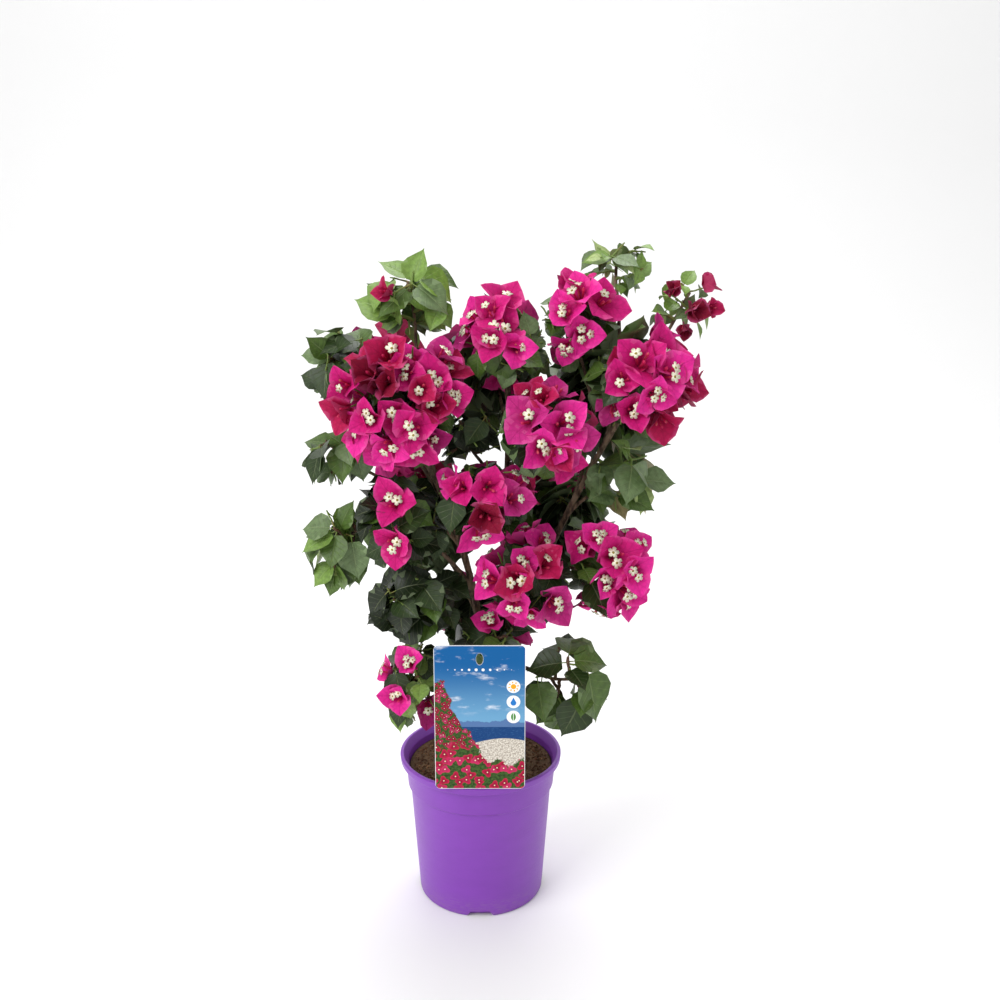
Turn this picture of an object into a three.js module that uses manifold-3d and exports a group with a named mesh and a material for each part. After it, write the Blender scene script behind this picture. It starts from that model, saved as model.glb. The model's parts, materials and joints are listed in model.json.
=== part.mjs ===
// Bougainvillea in a 17 cm nursery pot. Millimetres, +Z up, front towards -Y.
// Origin: the middle of the pot's flat underside, which is also the height of the floor it stands on.
//
// A trunk stands on the potting soil and forks into boughs. Every bough is one tapering limb that ends
// where it enters the mass of foliage it carries. A mass keeps to its own space: a stem goes on from the
// bough's tip, twigs spread from the stem, and leaves and three-bract blooms are fused to the twigs.
import * as THREE from "three";
import { mergeVertices } from "three/addons/utils/BufferGeometryUtils.js";
import Module from "manifold-3d";

const wasm = await Module();
wasm.setup();

// ---------- driving dimensions ----------
const CLEARANCE = 0.3; // between pieces that touch

const POT = {
  height: 158,
  lipRadius: 85,
  lipHeight: 8,
  collarTop: 79,
  collarFoot: 77,
  collarHeight: 34, // from the rim down to the collar's lower edge
  wallTop: 74.5,
  wallFoot: 66,
  footChamfer: 3,
  wall: 2.6,
  floor: 4,
  sides: 32,
};
const DRAIN = { count: 4, width: 22, height: 5, depth: 14 };
const SOIL = { level: 144, crest: 147, crestRadius: 16 };

const LABEL = {
  width: 88,
  height: 151,
  thickness: 0.9,
  corner: 5,
  centreX: 1,
  y: -84,
  eyeWidth: 7,
  eyeHeight: 12,
  eyeDrop: 14, // from the top edge to the middle of the eye
  tongueWidth: 18,
  tongueThickness: 1.4,
  tongueSetBack: 15.5,
  tongueTop: 62, // above the rim
  tongueDepth: 45, // below the rim
};

const TRUNK = {
  foot: [-2, 7, SOIL.crest + CLEARANCE],
  fork: [5, 11, 204],
  uprightShare: 0.5, // share of its height that it goes straight up before it leans
  flareRadius: 10.5,
  footRadius: 7.4,
  forkRadius: 6.2,
  flareShare: 0.22, // share of the trunk's length over which the root flare dies out
};
const BOUGH = {
  radiusShare: 0.74, // of its parent's radius where it leaves
  taper: 0.55, // radius at its tip, of that at its foot
  leastRadius: 2.2,
  entry: 0.72, // how far out in the mass's space it ends
  follow: 0.5, // how much it leaves along its parent before it turns
};
const STEM = { tipRadius: 1.5, reach: 0.36 };
const TWIG = { baseRadius: 1.8, tipRadius: 1.5, spread: 0.56, spreadVariation: 0.16, surface: 310 };
const LEAF = { widest: 0.42, width: 0.76, keel: 0.2, thickness: 1.6, cup: 0.08, sunk: 1.2 };
const BLOOM = { length: 36, opening: 58, shoulder: 0.76, shoulderTurn: 33, thickness: 1.2, sunk: 3 };
const LEAF_STRETCH = 1.2; // how far past its mass's reach a leaf may stick out
const BLOOM_STRETCH = 1.24;
const LIMB_MARGIN = 3.5; // between any sampled point of a leaf and a limb's bark
const BLADE_GAP = 6; // between the sampled points of two leaves
const SMALLEST = 0.2; // detail below this is dropped from cut and fused solids
const CLOSEST = 0.002; // two points of a solid are further apart than this
const GOLDEN_ANGLE = Math.PI * (3 - Math.sqrt(5));

// What a mass bears: leaves for each twig, their length, and the share of twigs that end in a bloom.
const TRUSS = { leaves: 1.6, leaf: 56, blooming: 0.7, paint: "blossom" };
const MIXED = { leaves: 2.8, leaf: 60, blooming: 0.3, paint: "foliage" };
const LEAFY = { leaves: 3.1, leaf: 62, blooming: 0, paint: "foliage" };
const BACK = { leaves: 2.1, leaf: 60, blooming: 0.2, paint: "foliage" };
const YOUNG = { leaves: 3, leaf: 50, blooming: 0, paint: "young_foliage" };

// A mass of foliage: the middle and reach of its space, the limb that its bough leaves, how far along
// that limb, and what it bears.
const mass = (centre, reach, parent, along, bears) => ({ centre, reach, parent, along, ...bears });

const MASSES = {
  left_truss: mass([-66, -50, 538], [76, 52, 64], "trunk", 1, TRUSS),
  top_middle: mass([30, -30, 590], [54, 46, 46], "trunk", 1, TRUSS),
  right_truss: mass([148, -44, 556], [58, 54, 56], "trunk", 1, TRUSS),
  left_tuft: mass([-64, -12, 628], [46, 40, 48], "left_truss", 0.86, { ...YOUNG, leaf: 52 }),
  left_shoulder: mass([-130, -2, 568], [40, 44, 42], "left_truss", 0.78, LEAFY),
  left_side: mass([-138, -10, 484], [40, 38, 40], "left_truss", 0.62, LEAFY),
  left_hanging: mass([-141, -18, 396], [36, 34, 56], "left_side", 0.55, YOUNG),
  right_top: mass([92, -30, 608], [50, 44, 46], "right_truss", 0.84, { ...TRUSS, blooming: 0.5 }),
  right_shoot: mass([132, 0, 662], [42, 34, 30], "right_truss", 0.92, { ...YOUNG, leaf: 36 }),
  right_buds: mass([194, -8, 624], [36, 30, 34], "right_truss", 0.96, { ...MIXED, leaf: 32, bloom: 22 }),
  centre_upper: mass([62, -66, 516], [54, 44, 50], "top_middle", 0.72, TRUSS),
  centre_left: mass([-12, -40, 506], [42, 40, 42], "top_middle", 0.6, MIXED),
  centre_mid: mass([4, -62, 450], [52, 44, 52], "top_middle", 0.5, MIXED),
  right_mid: mass([132, -26, 466], [54, 46, 46], "right_truss", 0.66, YOUNG),
  right_low: mass([122, -44, 378], [46, 44, 52], "right_truss", 0.46, { ...TRUSS, blooming: 0.5 }),
  left_mid: mass([-72, -50, 426], [48, 44, 52], "left_truss", 0.44, MIXED),
  centre_low: mass([50, -56, 370], [56, 42, 46], "top_middle", 0.28, { ...TRUSS, blooming: 0.45 }),
  left_low: mass([-64, -36, 340], [52, 46, 42], "left_truss", 0.26, LEAFY),
  left_foot: mass([-64, -46, 258], [36, 36, 54], "left_truss", 0.1, MIXED),
  right_foot: mass([86, -40, 258], [42, 38, 62], "right_truss", 0.12, LEAFY),
  centre_core: mass([12, -26, 288], [44, 34, 42], "top_middle", 0.08, MIXED),
  back_left: mass([-92, 56, 532], [64, 48, 68], "left_truss", 0.7, BACK),
  back_centre: mass([14, 58, 562], [54, 48, 60], "top_middle", 0.8, BACK),
  back_right: mass([118, 56, 528], [66, 48, 70], "right_truss", 0.72, BACK),
  back_low_left: mass([-62, 54, 402], [60, 46, 60], "left_truss", 0.34, BACK),
  back_low_right: mass([78, 54, 398], [60, 46, 60], "right_truss", 0.36, BACK),
  back_foot: mass([6, 50, 288], [52, 38, 50], "trunk", 0.86, BACK),
};

const PAINT = {
  pot: { color: 0x9550c4, roughness: 0.42, metalness: 0 },
  soil: { color: 0x3a2a20, roughness: 0.95, metalness: 0 },
  label: { color: 0x2f7fc4, roughness: 0.35, metalness: 0 },
  bark: { color: 0x5d4436, roughness: 0.85, metalness: 0 },
  foliage: { color: 0x3c5a2c, roughness: 0.5, metalness: 0 },
  young_foliage: { color: 0x7c9c50, roughness: 0.5, metalness: 0 },
  blossom: { color: 0xc01870, roughness: 0.6, metalness: 0 },
};

// ---------- small helpers ----------
const vector = (a) => new THREE.Vector3(...a);
const radians = (degrees) => (degrees * Math.PI) / 180;
const UP = vector([0, 0, 1]);

function randomFrom(seed) {
  let state = seed >>> 0;
  return () => {
    state = (Math.imul(1664525, state) + 1013904223) >>> 0;
    return state / 4294967296;
  };
}

function solidOf(geometry) {
  const bare = geometry.clone();
  bare.deleteAttribute("normal");
  bare.deleteAttribute("uv");
  const merged = mergeVertices(bare, 1e-4);
  const triVerts = new Uint32Array(merged.index.array);
  const vertProperties = new Float32Array(merged.attributes.position.array);
  return new wasm.Manifold(new wasm.Mesh({ numProp: 3, vertProperties, triVerts }));
}

function geometryOf(solid) {
  const mesh = solid.getMesh();
  const positions = new Float32Array(mesh.numVert * 3);
  for (let i = 0; i < mesh.numVert; i++) {
    const start = i * mesh.numProp;
    positions.set(mesh.vertProperties.subarray(start, start + 3), i * 3);
  }
  const geometry = new THREE.BufferGeometry();
  geometry.setAttribute("position", new THREE.BufferAttribute(positions, 3));
  geometry.setIndex(new THREE.BufferAttribute(mesh.triVerts, 1));
  geometry.computeVertexNormals();
  return geometry;
}

const join = (solids) => solids.reduce((all, next) => all.add(next));

// Whether two points of a solid lie closer together than a distance.
function hasPointsWithin(solid, distance) {
  const { vertProperties, numProp, numVert } = solid.getMesh();
  const points = Array.from({ length: numVert }, (_, i) =>
    new THREE.Vector3().fromArray(vertProperties, i * numProp),
  ).sort((a, b) => a.x - b.x);
  return points.some((point, i) => {
    for (let j = i + 1; j < numVert && points[j].x - point.x < distance; j++) {
      if (points[j].distanceTo(point) < distance) return true;
    }
    return false;
  });
}

// The largest body of a solid, without detail too small to see: loose scraps are dropped and sealed hollows
// filled.
function wholeOf(solid) {
  const bodies = solid.asOriginal().simplify(SMALLEST).decompose();
  return bodies.reduce((best, next) => (next.volume() > best.volume() ? next : best));
}

// The solid that make(thinner) gives, with its limbs a hair thinner each time until no two of its points
// are too close for a file to tell apart.
function settled(make) {
  let thinner = 0;
  let solid = wholeOf(make(thinner));
  while (hasPointsWithin(solid, CLOSEST)) {
    thinner += 0.01;
    solid = wholeOf(make(thinner));
  }
  return solid;
}

function piece(name, solid, paint) {
  const mesh = new THREE.Mesh(geometryOf(solid), new THREE.MeshStandardMaterial(PAINT[paint]));
  mesh.name = name;
  return mesh;
}

// ---------- limbs ----------
// A limb is { curve, radiusAt, sides, segments }: a line and the radius along it.

// A direction square to a line, turned about it.
function squareTo(line, turn) {
  const aside = Math.abs(line.z) < 0.9 ? UP : vector([1, 0, 0]);
  const first = aside.clone().cross(line).normalize();
  const second = line.clone().cross(first);
  return first.multiplyScalar(Math.cos(turn)).addScaledVector(second, Math.sin(turn));
}

// A cylinder bent along the limb's curve, with the limb's radius at each ring. Grown, it is thicker and
// longer at both ends by the same amount.
function limbSolid({ curve, radiusAt, sides, segments }, grow = 0) {
  const bent = new THREE.CylinderGeometry(1, 1, 1, sides, segments);
  const chord = curve.getPoint(1).sub(curve.getPoint(0)).normalize();
  const across = squareTo(chord, 0);
  const at = bent.attributes.position;
  for (let i = 0; i < at.count; i++) {
    const along = at.getY(i) + 0.5;
    const forward = curve.getTangent(along);
    const side = across.clone().addScaledVector(forward, -across.dot(forward)).normalize();
    const other = forward.clone().cross(side);
    const radius = radiusAt(along) + grow;
    const point = curve.getPoint(along).addScaledVector(forward, (2 * along - 1) * grow);
    point.addScaledVector(side, at.getZ(i) * radius).addScaledVector(other, at.getX(i) * radius);
    at.setXYZ(i, point.x, point.y, point.z);
  }
  return solidOf(bent);
}

const tapered = (from, to) => (along) => from + (to - from) * along;

function trunkLimb() {
  const foot = vector(TRUNK.foot);
  const fork = vector(TRUNK.fork);
  const middle = foot.clone().setZ(foot.z + TRUNK.uprightShare * (fork.z - foot.z));
  const radiusAt = (along) => {
    const flare = Math.max(0, 1 - along / TRUNK.flareShare) ** 2;
    const plain = tapered(TRUNK.footRadius, TRUNK.forkRadius)(along);
    return plain + (TRUNK.flareRadius - TRUNK.footRadius) * flare;
  };
  return { curve: new THREE.QuadraticBezierCurve3(foot, middle, fork), radiusAt, sides: 9, segments: 7 };
}

// The bough that carries a mass: it leaves its parent limb and ends inside the near side of the space.
function boughLimb(grown, limbs) {
  const parent = limbs[grown.parent];
  const start = parent.curve.getPoint(grown.along);
  const reach = vector(grown.reach);
  const inward = start.clone().sub(vector(grown.centre)).divide(reach).normalize();
  const end = vector(grown.centre).add(inward.multiplyScalar(BOUGH.entry).multiply(reach));
  const chord = end.clone().sub(start);
  const leaving = parent.curve.getTangent(grown.along).multiplyScalar(BOUGH.follow * chord.length());
  const middle = start.clone().addScaledVector(chord, 0.5 * (1 - BOUGH.follow)).addScaledVector(leaving, 0.5);
  const radius = Math.max(BOUGH.leastRadius, parent.radiusAt(grown.along) * BOUGH.radiusShare);
  const main = grown.parent === "trunk";
  return {
    curve: new THREE.QuadraticBezierCurve3(start, middle, end),
    radiusAt: tapered(radius, Math.max(radius * BOUGH.taper, STEM.tipRadius)),
    sides: main ? 6 : 5,
    segments: main ? 5 : 3,
  };
}

function allLimbs() {
  const limbs = { trunk: trunkLimb() };
  for (const [name, grown] of Object.entries(MASSES)) limbs[name] = boughLimb(grown, limbs);
  return limbs;
}

// ---------- the space that a mass keeps to ----------
// Short straight stretches of every limb with their radius, for keeping leaves clear of them.
function limbStretches(limbs, count = 8) {
  return Object.values(limbs).flatMap((limb) => {
    const ends = limb.curve.getPoints(count);
    return ends.slice(1).map((end, i) => ({
      line: new THREE.Line3(ends[i], end),
      radius: limb.radiusAt(i / count),
    }));
  });
}

function clearOfLimbs(point, stretches) {
  const nearest = new THREE.Vector3();
  return stretches.every(({ line, radius }) => {
    line.closestPointToPoint(point, true, nearest);
    return nearest.distanceTo(point) > radius + LIMB_MARGIN;
  });
}

const meanReach = ({ reach }) => (reach[0] + reach[1] + reach[2]) / 3;

function hiddenByLabel(point) {
  const beside = Math.abs(point.x - LABEL.centreX) > LABEL.width / 2 + 4;
  const above = point.z > POT.height + LABEL.height + 5;
  return !beside && !above && point.y < LABEL.y + LABEL.tongueSetBack + 4;
}

// A test of whether a point lies in a mass's space: in its reach, on its own side of the plane to each
// neighbour by a margin, over the rim and behind the label.
function spaceOf(grown) {
  const centre = vector(grown.centre);
  const power = meanReach(grown) ** 2;
  const others = Object.values(MASSES)
    .filter((other) => other !== grown)
    .map((other) => ({ centre: vector(other.centre), power: meanReach(other) ** 2 }));
  return (point, stretch, margin) => {
    if (point.clone().sub(centre).divide(vector(grown.reach)).length() > stretch) return false;
    if (point.z < POT.height + 4 || hiddenByLabel(point)) return false;
    const own = point.distanceToSquared(centre) - power;
    return others.every((other) => {
      const theirs = point.distanceToSquared(other.centre) - other.power;
      return theirs - own >= 2 * margin * centre.distanceTo(other.centre);
    });
  };
}

// ---------- leaves and blooms ----------
// Makes a face direction square to the direction that a blade points in.
const squared = (face, forward) => face.addScaledVector(forward, -face.dot(forward)).normalize();

// A point of a leaf, which is { root, forward, face, length }: along it from its root, across it from its
// midrib in half widths, and lifted off it.
function leafPoint(leaf, along, across, lift = 0) {
  const width = leaf.length * LEAF.width;
  const side = leaf.face.clone().cross(leaf.forward);
  return leaf.root
    .clone()
    .addScaledVector(leaf.forward, along * leaf.length)
    .addScaledVector(side, (across * width) / 2)
    .addScaledVector(leaf.face, lift + LEAF.cup * width * Math.abs(across));
}

// An eight-faced leaf: an octahedron whose points become the root, the tip, two sides and a keel.
function leafSolid(leaf) {
  const solid = new THREE.OctahedronGeometry(1);
  const at = solid.attributes.position;
  for (let i = 0; i < at.count; i++) {
    const [end, across, keel] = [at.getX(i), at.getY(i), at.getZ(i)].map(Math.round);
    const along = end ? (end + 1) / 2 : across ? LEAF.widest : LEAF.keel;
    const point = leafPoint(leaf, along, across, (keel * LEAF.thickness) / 2);
    at.setXYZ(i, point.x, point.y, point.z);
  }
  return solidOf(solid);
}

// Points over a leaf's blade, past its stalk.
function leafSamples(leaf) {
  const samples = [leafPoint(leaf, 1, 0)];
  for (const along of [0.3, LEAF.widest, 0.62, 0.8]) {
    const half = Math.min(along / LEAF.widest, (1 - along) / (1 - LEAF.widest));
    for (const across of [-half, -half / 2, 0, half / 2, half]) samples.push(leafPoint(leaf, along, across));
  }
  return samples;
}

// A leaf on a twig: it stands off to one side and droops, and its face looks out of the crown and up.
function leafOn(grown, node, line, turn, length, droop) {
  const forward = line.clone().multiplyScalar(0.45).addScaledVector(squareTo(line, turn), 0.85);
  forward.addScaledVector(UP, -droop).normalize();
  const out = node.clone().sub(vector(grown.centre)).divide(vector(grown.reach)).multiplyScalar(0.5);
  const face = squared(out.addScaledVector(facing(grown), 0.6).addScaledVector(UP, 0.55), forward);
  return { root: node.clone().addScaledVector(forward, -LEAF.sunk), forward, face, length };
}

// A point of a bloom, which is { root, axis, turn, length }: out from its root and round its axis.
function bloomPoint(bloom, out, angle) {
  const opening = radians(BLOOM.opening);
  return bloom.root
    .clone()
    .addScaledVector(bloom.axis, Math.cos(opening) * out * bloom.length)
    .addScaledVector(squareTo(bloom.axis, bloom.turn + angle), Math.sin(opening) * out * bloom.length);
}

// The points and shoulders of a bloom's three bracts, in order round it.
function bloomRim(bloom) {
  const rim = [];
  for (let bract = 0; bract < 3; bract++) {
    const middle = (bract * 2 * Math.PI) / 3;
    rim.push(bloomPoint(bloom, BLOOM.shoulder, middle - radians(BLOOM.shoulderTurn)));
    rim.push(bloomPoint(bloom, 1, middle));
    rim.push(bloomPoint(bloom, BLOOM.shoulder, middle + radians(BLOOM.shoulderTurn)));
  }
  return rim;
}

// An open cup of three bracts: two fans of faces, within and without, that meet along the rim.
function bloomSolid(bloom) {
  const rim = bloomRim(bloom);
  const inner = bloom.root.clone().addScaledVector(bloom.axis, BLOOM.thickness);
  const outer = bloom.root.clone().addScaledVector(bloom.axis, -BLOOM.sunk);
  const corners = rim.flatMap((point, i) => {
    const next = rim[(i + 1) % rim.length];
    return [inner, point, next, outer, next, point];
  });
  return solidOf(new THREE.BufferGeometry().setFromPoints(corners));
}

function bloomSamples(bloom) {
  const rim = bloomRim(bloom);
  return [...rim, ...rim.map((point) => point.clone().lerp(bloom.root, 0.4))];
}

// ---------- how a mass grows ----------
// The side of the crown that a mass looks to.
function facing({ centre }) {
  return vector([(centre[0] - 20) / 220, centre[1] > 20 ? 1 : -1, 0.25]).normalize();
}

// Where the twigs leave the stem and the directions they take: spread evenly along the stem and, as they
// follow one another, round it.
function twigStarts(grown, stem, seed) {
  const [x, y, z] = grown.reach;
  const count = Math.round((x * y + y * z + z * x) / 3 / TWIG.surface);
  const axis = stem.curve.getPoint(1).sub(stem.curve.getPoint(0)).normalize();
  return Array.from({ length: count }, (_, i) => {
    const height = (2 * i + 1) / count - 1;
    const side = squareTo(axis, seed + i * GOLDEN_ANGLE).multiplyScalar(Math.sqrt(1 - height * height));
    return { along: 0.1 + 0.9 * ((i + 0.5) / count), direction: side.addScaledVector(axis, height) };
  });
}

// The stem goes on from the bough's tip, 0.3 mm clear of it, through the middle of the space.
function stemLimb(grown, bough) {
  const forward = bough.curve.getTangent(1);
  const start = bough.curve.getPoint(1).addScaledVector(forward, CLEARANCE);
  const reach = vector(grown.reach);
  const away = vector(grown.centre).sub(start).divide(reach).normalize();
  const end = vector(grown.centre).add(away.multiplyScalar(STEM.reach).multiply(reach));
  const middle = start.clone().addScaledVector(forward, start.distanceTo(end) * 0.45);
  const radiusAt = tapered(bough.radiusAt(1), STEM.tipRadius);
  return { curve: new THREE.QuadraticBezierCurve3(start, middle, end), radiusAt, sides: 4, segments: 2 };
}

// A straight twig from the stem towards a direction, as long as its space and the limbs leave room for.
function twigLimb(grown, stem, along, direction, spread, inSpace, stretches) {
  const start = stem.curve.getPoint(along);
  const full = direction.clone().multiply(vector(grown.reach)).multiplyScalar(spread);
  for (const share of [1, 0.85, 0.7, 0.55]) {
    const end = vector(grown.centre).addScaledVector(full, share);
    const curve = new THREE.LineCurve3(start, end);
    const clear = [0.4, 0.7, 1].every((along) => {
      const point = curve.getPoint(along);
      return inSpace(point, 1, TWIG.baseRadius + CLEARANCE) && clearOfLimbs(point, stretches);
    });
    const radiusAt = tapered(TWIG.baseRadius, TWIG.tipRadius);
    if (clear) return { curve, radiusAt, sides: 3, segments: 1 };
  }
  return null;
}

// Every twig, bloom and leaf of a mass. What would leave its space, touch a limb or crowd another blade
// is turned and shortened a few times, and then skipped.
function growMass(grown, bough, seed, stretches) {
  const random = randomFrom(seed);
  const inSpace = spaceOf(grown);
  const stem = stemLimb(grown, bough);
  const taken = [];
  const fits = (samples, stretch) =>
    samples.every(
      (point) =>
        inSpace(point, stretch, LEAF.thickness / 2 + CLEARANCE) &&
        clearOfLimbs(point, stretches) &&
        taken.every((other) => other.distanceTo(point) > BLADE_GAP),
    );
  const twigs = twigStarts(grown, stem, seed).flatMap(({ along, direction }) => {
    const spread = TWIG.spread + TWIG.spreadVariation * (random() - 0.5);
    const twig = twigLimb(grown, stem, along, direction, spread, inSpace, stretches);
    return twig ? [{ ...twig, direction }] : [];
  });
  const front = facing(grown);
  twigs.sort((a, b) => b.direction.dot(front) - a.direction.dot(front));
  const blooms = [];
  for (const twig of twigs.slice(0, Math.round(twigs.length * grown.blooming))) {
    const axis = facing(grown).addScaledVector(twig.direction, 0.75).normalize();
    const bloom = { root: twig.curve.getPoint(1), axis, turn: 6 * random(), length: BLOOM.length };
    bloom.length = (grown.bloom ?? BLOOM.length) * (0.88 + 0.24 * random());
    for (let attempt = 0; attempt < 5; attempt++) {
      if (fits(bloomSamples(bloom), BLOOM_STRETCH)) {
        blooms.push(bloom);
        taken.push(...bloomSamples(bloom));
        twig.bloom = bloom;
        break;
      }
      bloom.turn += 0.5;
      bloom.length *= 0.93;
    }
  }
  const leaves = [];
  for (const twig of twigs) {
    const count = Math.round(grown.leaves + random() - 0.5);
    const last = twig.bloom ? 0.72 : 1;
    const line = twig.curve.getTangent(0);
    const turn = 6 * random();
    for (let i = 0; i < count; i++) {
      let length = Math.min(grown.leaf, 1.15 * meanReach(grown)) * (0.84 + 0.32 * random());
      const droop = 0.3 + 0.4 * random();
      for (let attempt = 0; attempt < 20; attempt++) {
        const node = twig.curve.getPoint(last - (0.5 * (i + attempt / 20)) / count);
        const leaf = leafOn(grown, node, line, turn + i * GOLDEN_ANGLE + attempt * 0.9, length, droop);
        if (fits(leafSamples(leaf), LEAF_STRETCH)) {
          leaves.push(leaf);
          taken.push(...leafSamples(leaf));
          break;
        }
        length *= 0.98;
      }
    }
  }
  return { stem, twigs, blooms, leaves };
}

function massSolid({ stem, twigs, blooms, leaves }, thinner) {
  const limbs = [stem, ...twigs].map((limb) => limbSolid(limb, -thinner));
  return join([...limbs, ...blooms.map(bloomSolid), ...leaves.map(leafSolid)]);
}

// ---------- pot, soil and label ----------
function lathe(profile) {
  const turned = new THREE.LatheGeometry(profile.map(([r, z]) => new THREE.Vector2(r, z)), POT.sides);
  return solidOf(turned.rotateX(Math.PI / 2));
}

const collarZ = POT.height - POT.collarHeight;
const wallRadius = (z) => POT.wallFoot + ((POT.wallTop - POT.wallFoot) * z) / collarZ;

function pot() {
  const { height, lipRadius, lipHeight, wall, floor } = POT;
  const turned = lathe([
    [0, 0],
    [POT.wallFoot - POT.footChamfer, 0],
    [wallRadius(POT.footChamfer), POT.footChamfer],
    [wallRadius(collarZ - 2), collarZ - 2],
    [POT.collarFoot, collarZ],
    [POT.collarTop, height - lipHeight - 2],
    [lipRadius - 1, height - lipHeight],
    [lipRadius, height - 2],
    [lipRadius - 2, height],
    [lipRadius - 4.5, height - 0.5],
    [POT.collarTop - wall, height - lipHeight],
    [POT.collarFoot - wall, collarZ + 2],
    [wallRadius(collarZ) - wall, collarZ - 2],
    [wallRadius(floor) - wall, floor],
    [0, floor],
  ]);
  const slots = Array.from({ length: DRAIN.count }, (_, i) => {
    const slot = new THREE.BoxGeometry(DRAIN.width, DRAIN.depth, 2 * DRAIN.height);
    return slot.translate(0, -POT.wallFoot, 0).rotateZ((i * 2 * Math.PI) / DRAIN.count);
  });
  return slots.reduce((solid, slot) => solid.subtract(solidOf(slot)), turned);
}

// The potting soil fills the pot, level but for a low crest that the trunk stands on.
function soil() {
  const gap = POT.wall + CLEARANCE;
  return lathe([
    [0, POT.floor + CLEARANCE],
    [wallRadius(POT.floor) - gap, POT.floor + CLEARANCE],
    [wallRadius(collarZ) - gap, collarZ - 2],
    [POT.collarFoot - gap, collarZ + 3],
    [POT.collarFoot + 1 - gap, SOIL.level],
    [2 * SOIL.crestRadius, SOIL.level + 1],
    [SOIL.crestRadius, SOIL.crest],
    [0, SOIL.crest],
  ]);
}

// The tongue behind the card, seen from the side: it steps back over the rim and down into the soil.
function tongue(grow = 0) {
  const back = LABEL.y + LABEL.thickness / 2;
  const outer = back + LABEL.tongueSetBack - grow;
  const inner = back + LABEL.tongueSetBack + LABEL.tongueThickness + grow;
  const low = POT.height - LABEL.tongueDepth - grow;
  const high = POT.height + LABEL.tongueTop;
  const side = new THREE.Shape([
    new THREE.Vector2(outer, low),
    new THREE.Vector2(inner, low),
    new THREE.Vector2(inner, high - 30),
    new THREE.Vector2(back, high),
    new THREE.Vector2(back - LABEL.thickness / 2, high),
    new THREE.Vector2(back - LABEL.thickness / 2, high - 6),
    new THREE.Vector2(outer, high - 33),
  ]);
  const width = LABEL.tongueWidth + 2 * grow;
  const strip = new THREE.ExtrudeGeometry(side, { depth: width, bevelEnabled: false });
  // The shape's x is the frame's y and its y is z; the extrusion runs along x.
  const turn = new THREE.Matrix4().makeBasis(vector([0, 1, 0]), vector([0, 0, 1]), vector([1, 0, 0]));
  return solidOf(strip.applyMatrix4(turn).translate(LABEL.centreX - width / 2, 0, 0));
}

function label() {
  const { width, height, corner } = LABEL;
  const left = LABEL.centreX - width / 2;
  const right = left + width;
  const low = POT.height + CLEARANCE;
  const top = low + height;
  const outline = new THREE.Shape();
  outline.absarc(right - corner, low + corner, corner, -Math.PI / 2, 0);
  outline.absarc(right - corner, top - corner, corner, 0, Math.PI / 2);
  outline.absarc(left + corner, top - corner, corner, Math.PI / 2, Math.PI);
  outline.absarc(left + corner, low + corner, corner, Math.PI, 1.5 * Math.PI);
  const eye = new THREE.Path();
  eye.absellipse(LABEL.centreX, top - LABEL.eyeDrop, LABEL.eyeWidth / 2, LABEL.eyeHeight / 2, 0, 2 * Math.PI);
  outline.holes.push(eye);
  const card = new THREE.ExtrudeGeometry(outline, { depth: LABEL.thickness, bevelEnabled: false, curveSegments: 4 });
  card.rotateX(Math.PI / 2).translate(0, LABEL.y + LABEL.thickness / 2, 0);
  return solidOf(card).add(tongue());
}

// ---------- the assembly ----------
const limbs = allLimbs();
const stretches = limbStretches(limbs);
const plant = new THREE.Group();
plant.add(piece("pot", pot(), "pot"));
plant.add(piece("potting_soil", soil().subtract(tongue(CLEARANCE)), "soil"));
plant.add(piece("picture_label", label(), "label"));
plant.add(piece("trunk", limbSolid(limbs.trunk), "bark"));

// Each bough is cut back from the limbs made before it, so that it starts on its parent's bark.
const cutClear = (solid, others) => others.reduce((rest, other) => rest.subtract(other), solid);
const grownLimbs = { trunk: limbSolid(limbs.trunk, CLEARANCE) };
for (const name of Object.keys(MASSES)) {
  const earlier = Object.values(grownLimbs);
  const bough = settled((thinner) => cutClear(limbSolid(limbs[name], -thinner), earlier));
  plant.add(piece("bough_" + name, bough, "bark"));
  grownLimbs[name] = limbSolid(limbs[name], CLEARANCE);
}

Object.entries(MASSES).forEach(([name, grown], i) => {
  const growth = growMass(grown, limbs[name], 17 + 31 * i, stretches);
  const others = Object.keys(grownLimbs).filter((other) => other !== name);
  const crossing = others.map((other) => grownLimbs[other]);
  const foliage = settled((thinner) => cutClear(massSolid(growth, thinner), crossing));
  plant.add(piece("foliage_" + name, foliage, grown.paint));
});

export default plant;
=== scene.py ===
"""A bougainvillea in its nursery pot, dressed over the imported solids.

Metres, +Z up, front towards -Y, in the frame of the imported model. The growth rule works in millimetres,
as the solids' own rule does, and its results are scaled when they become meshes.
"""

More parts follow.
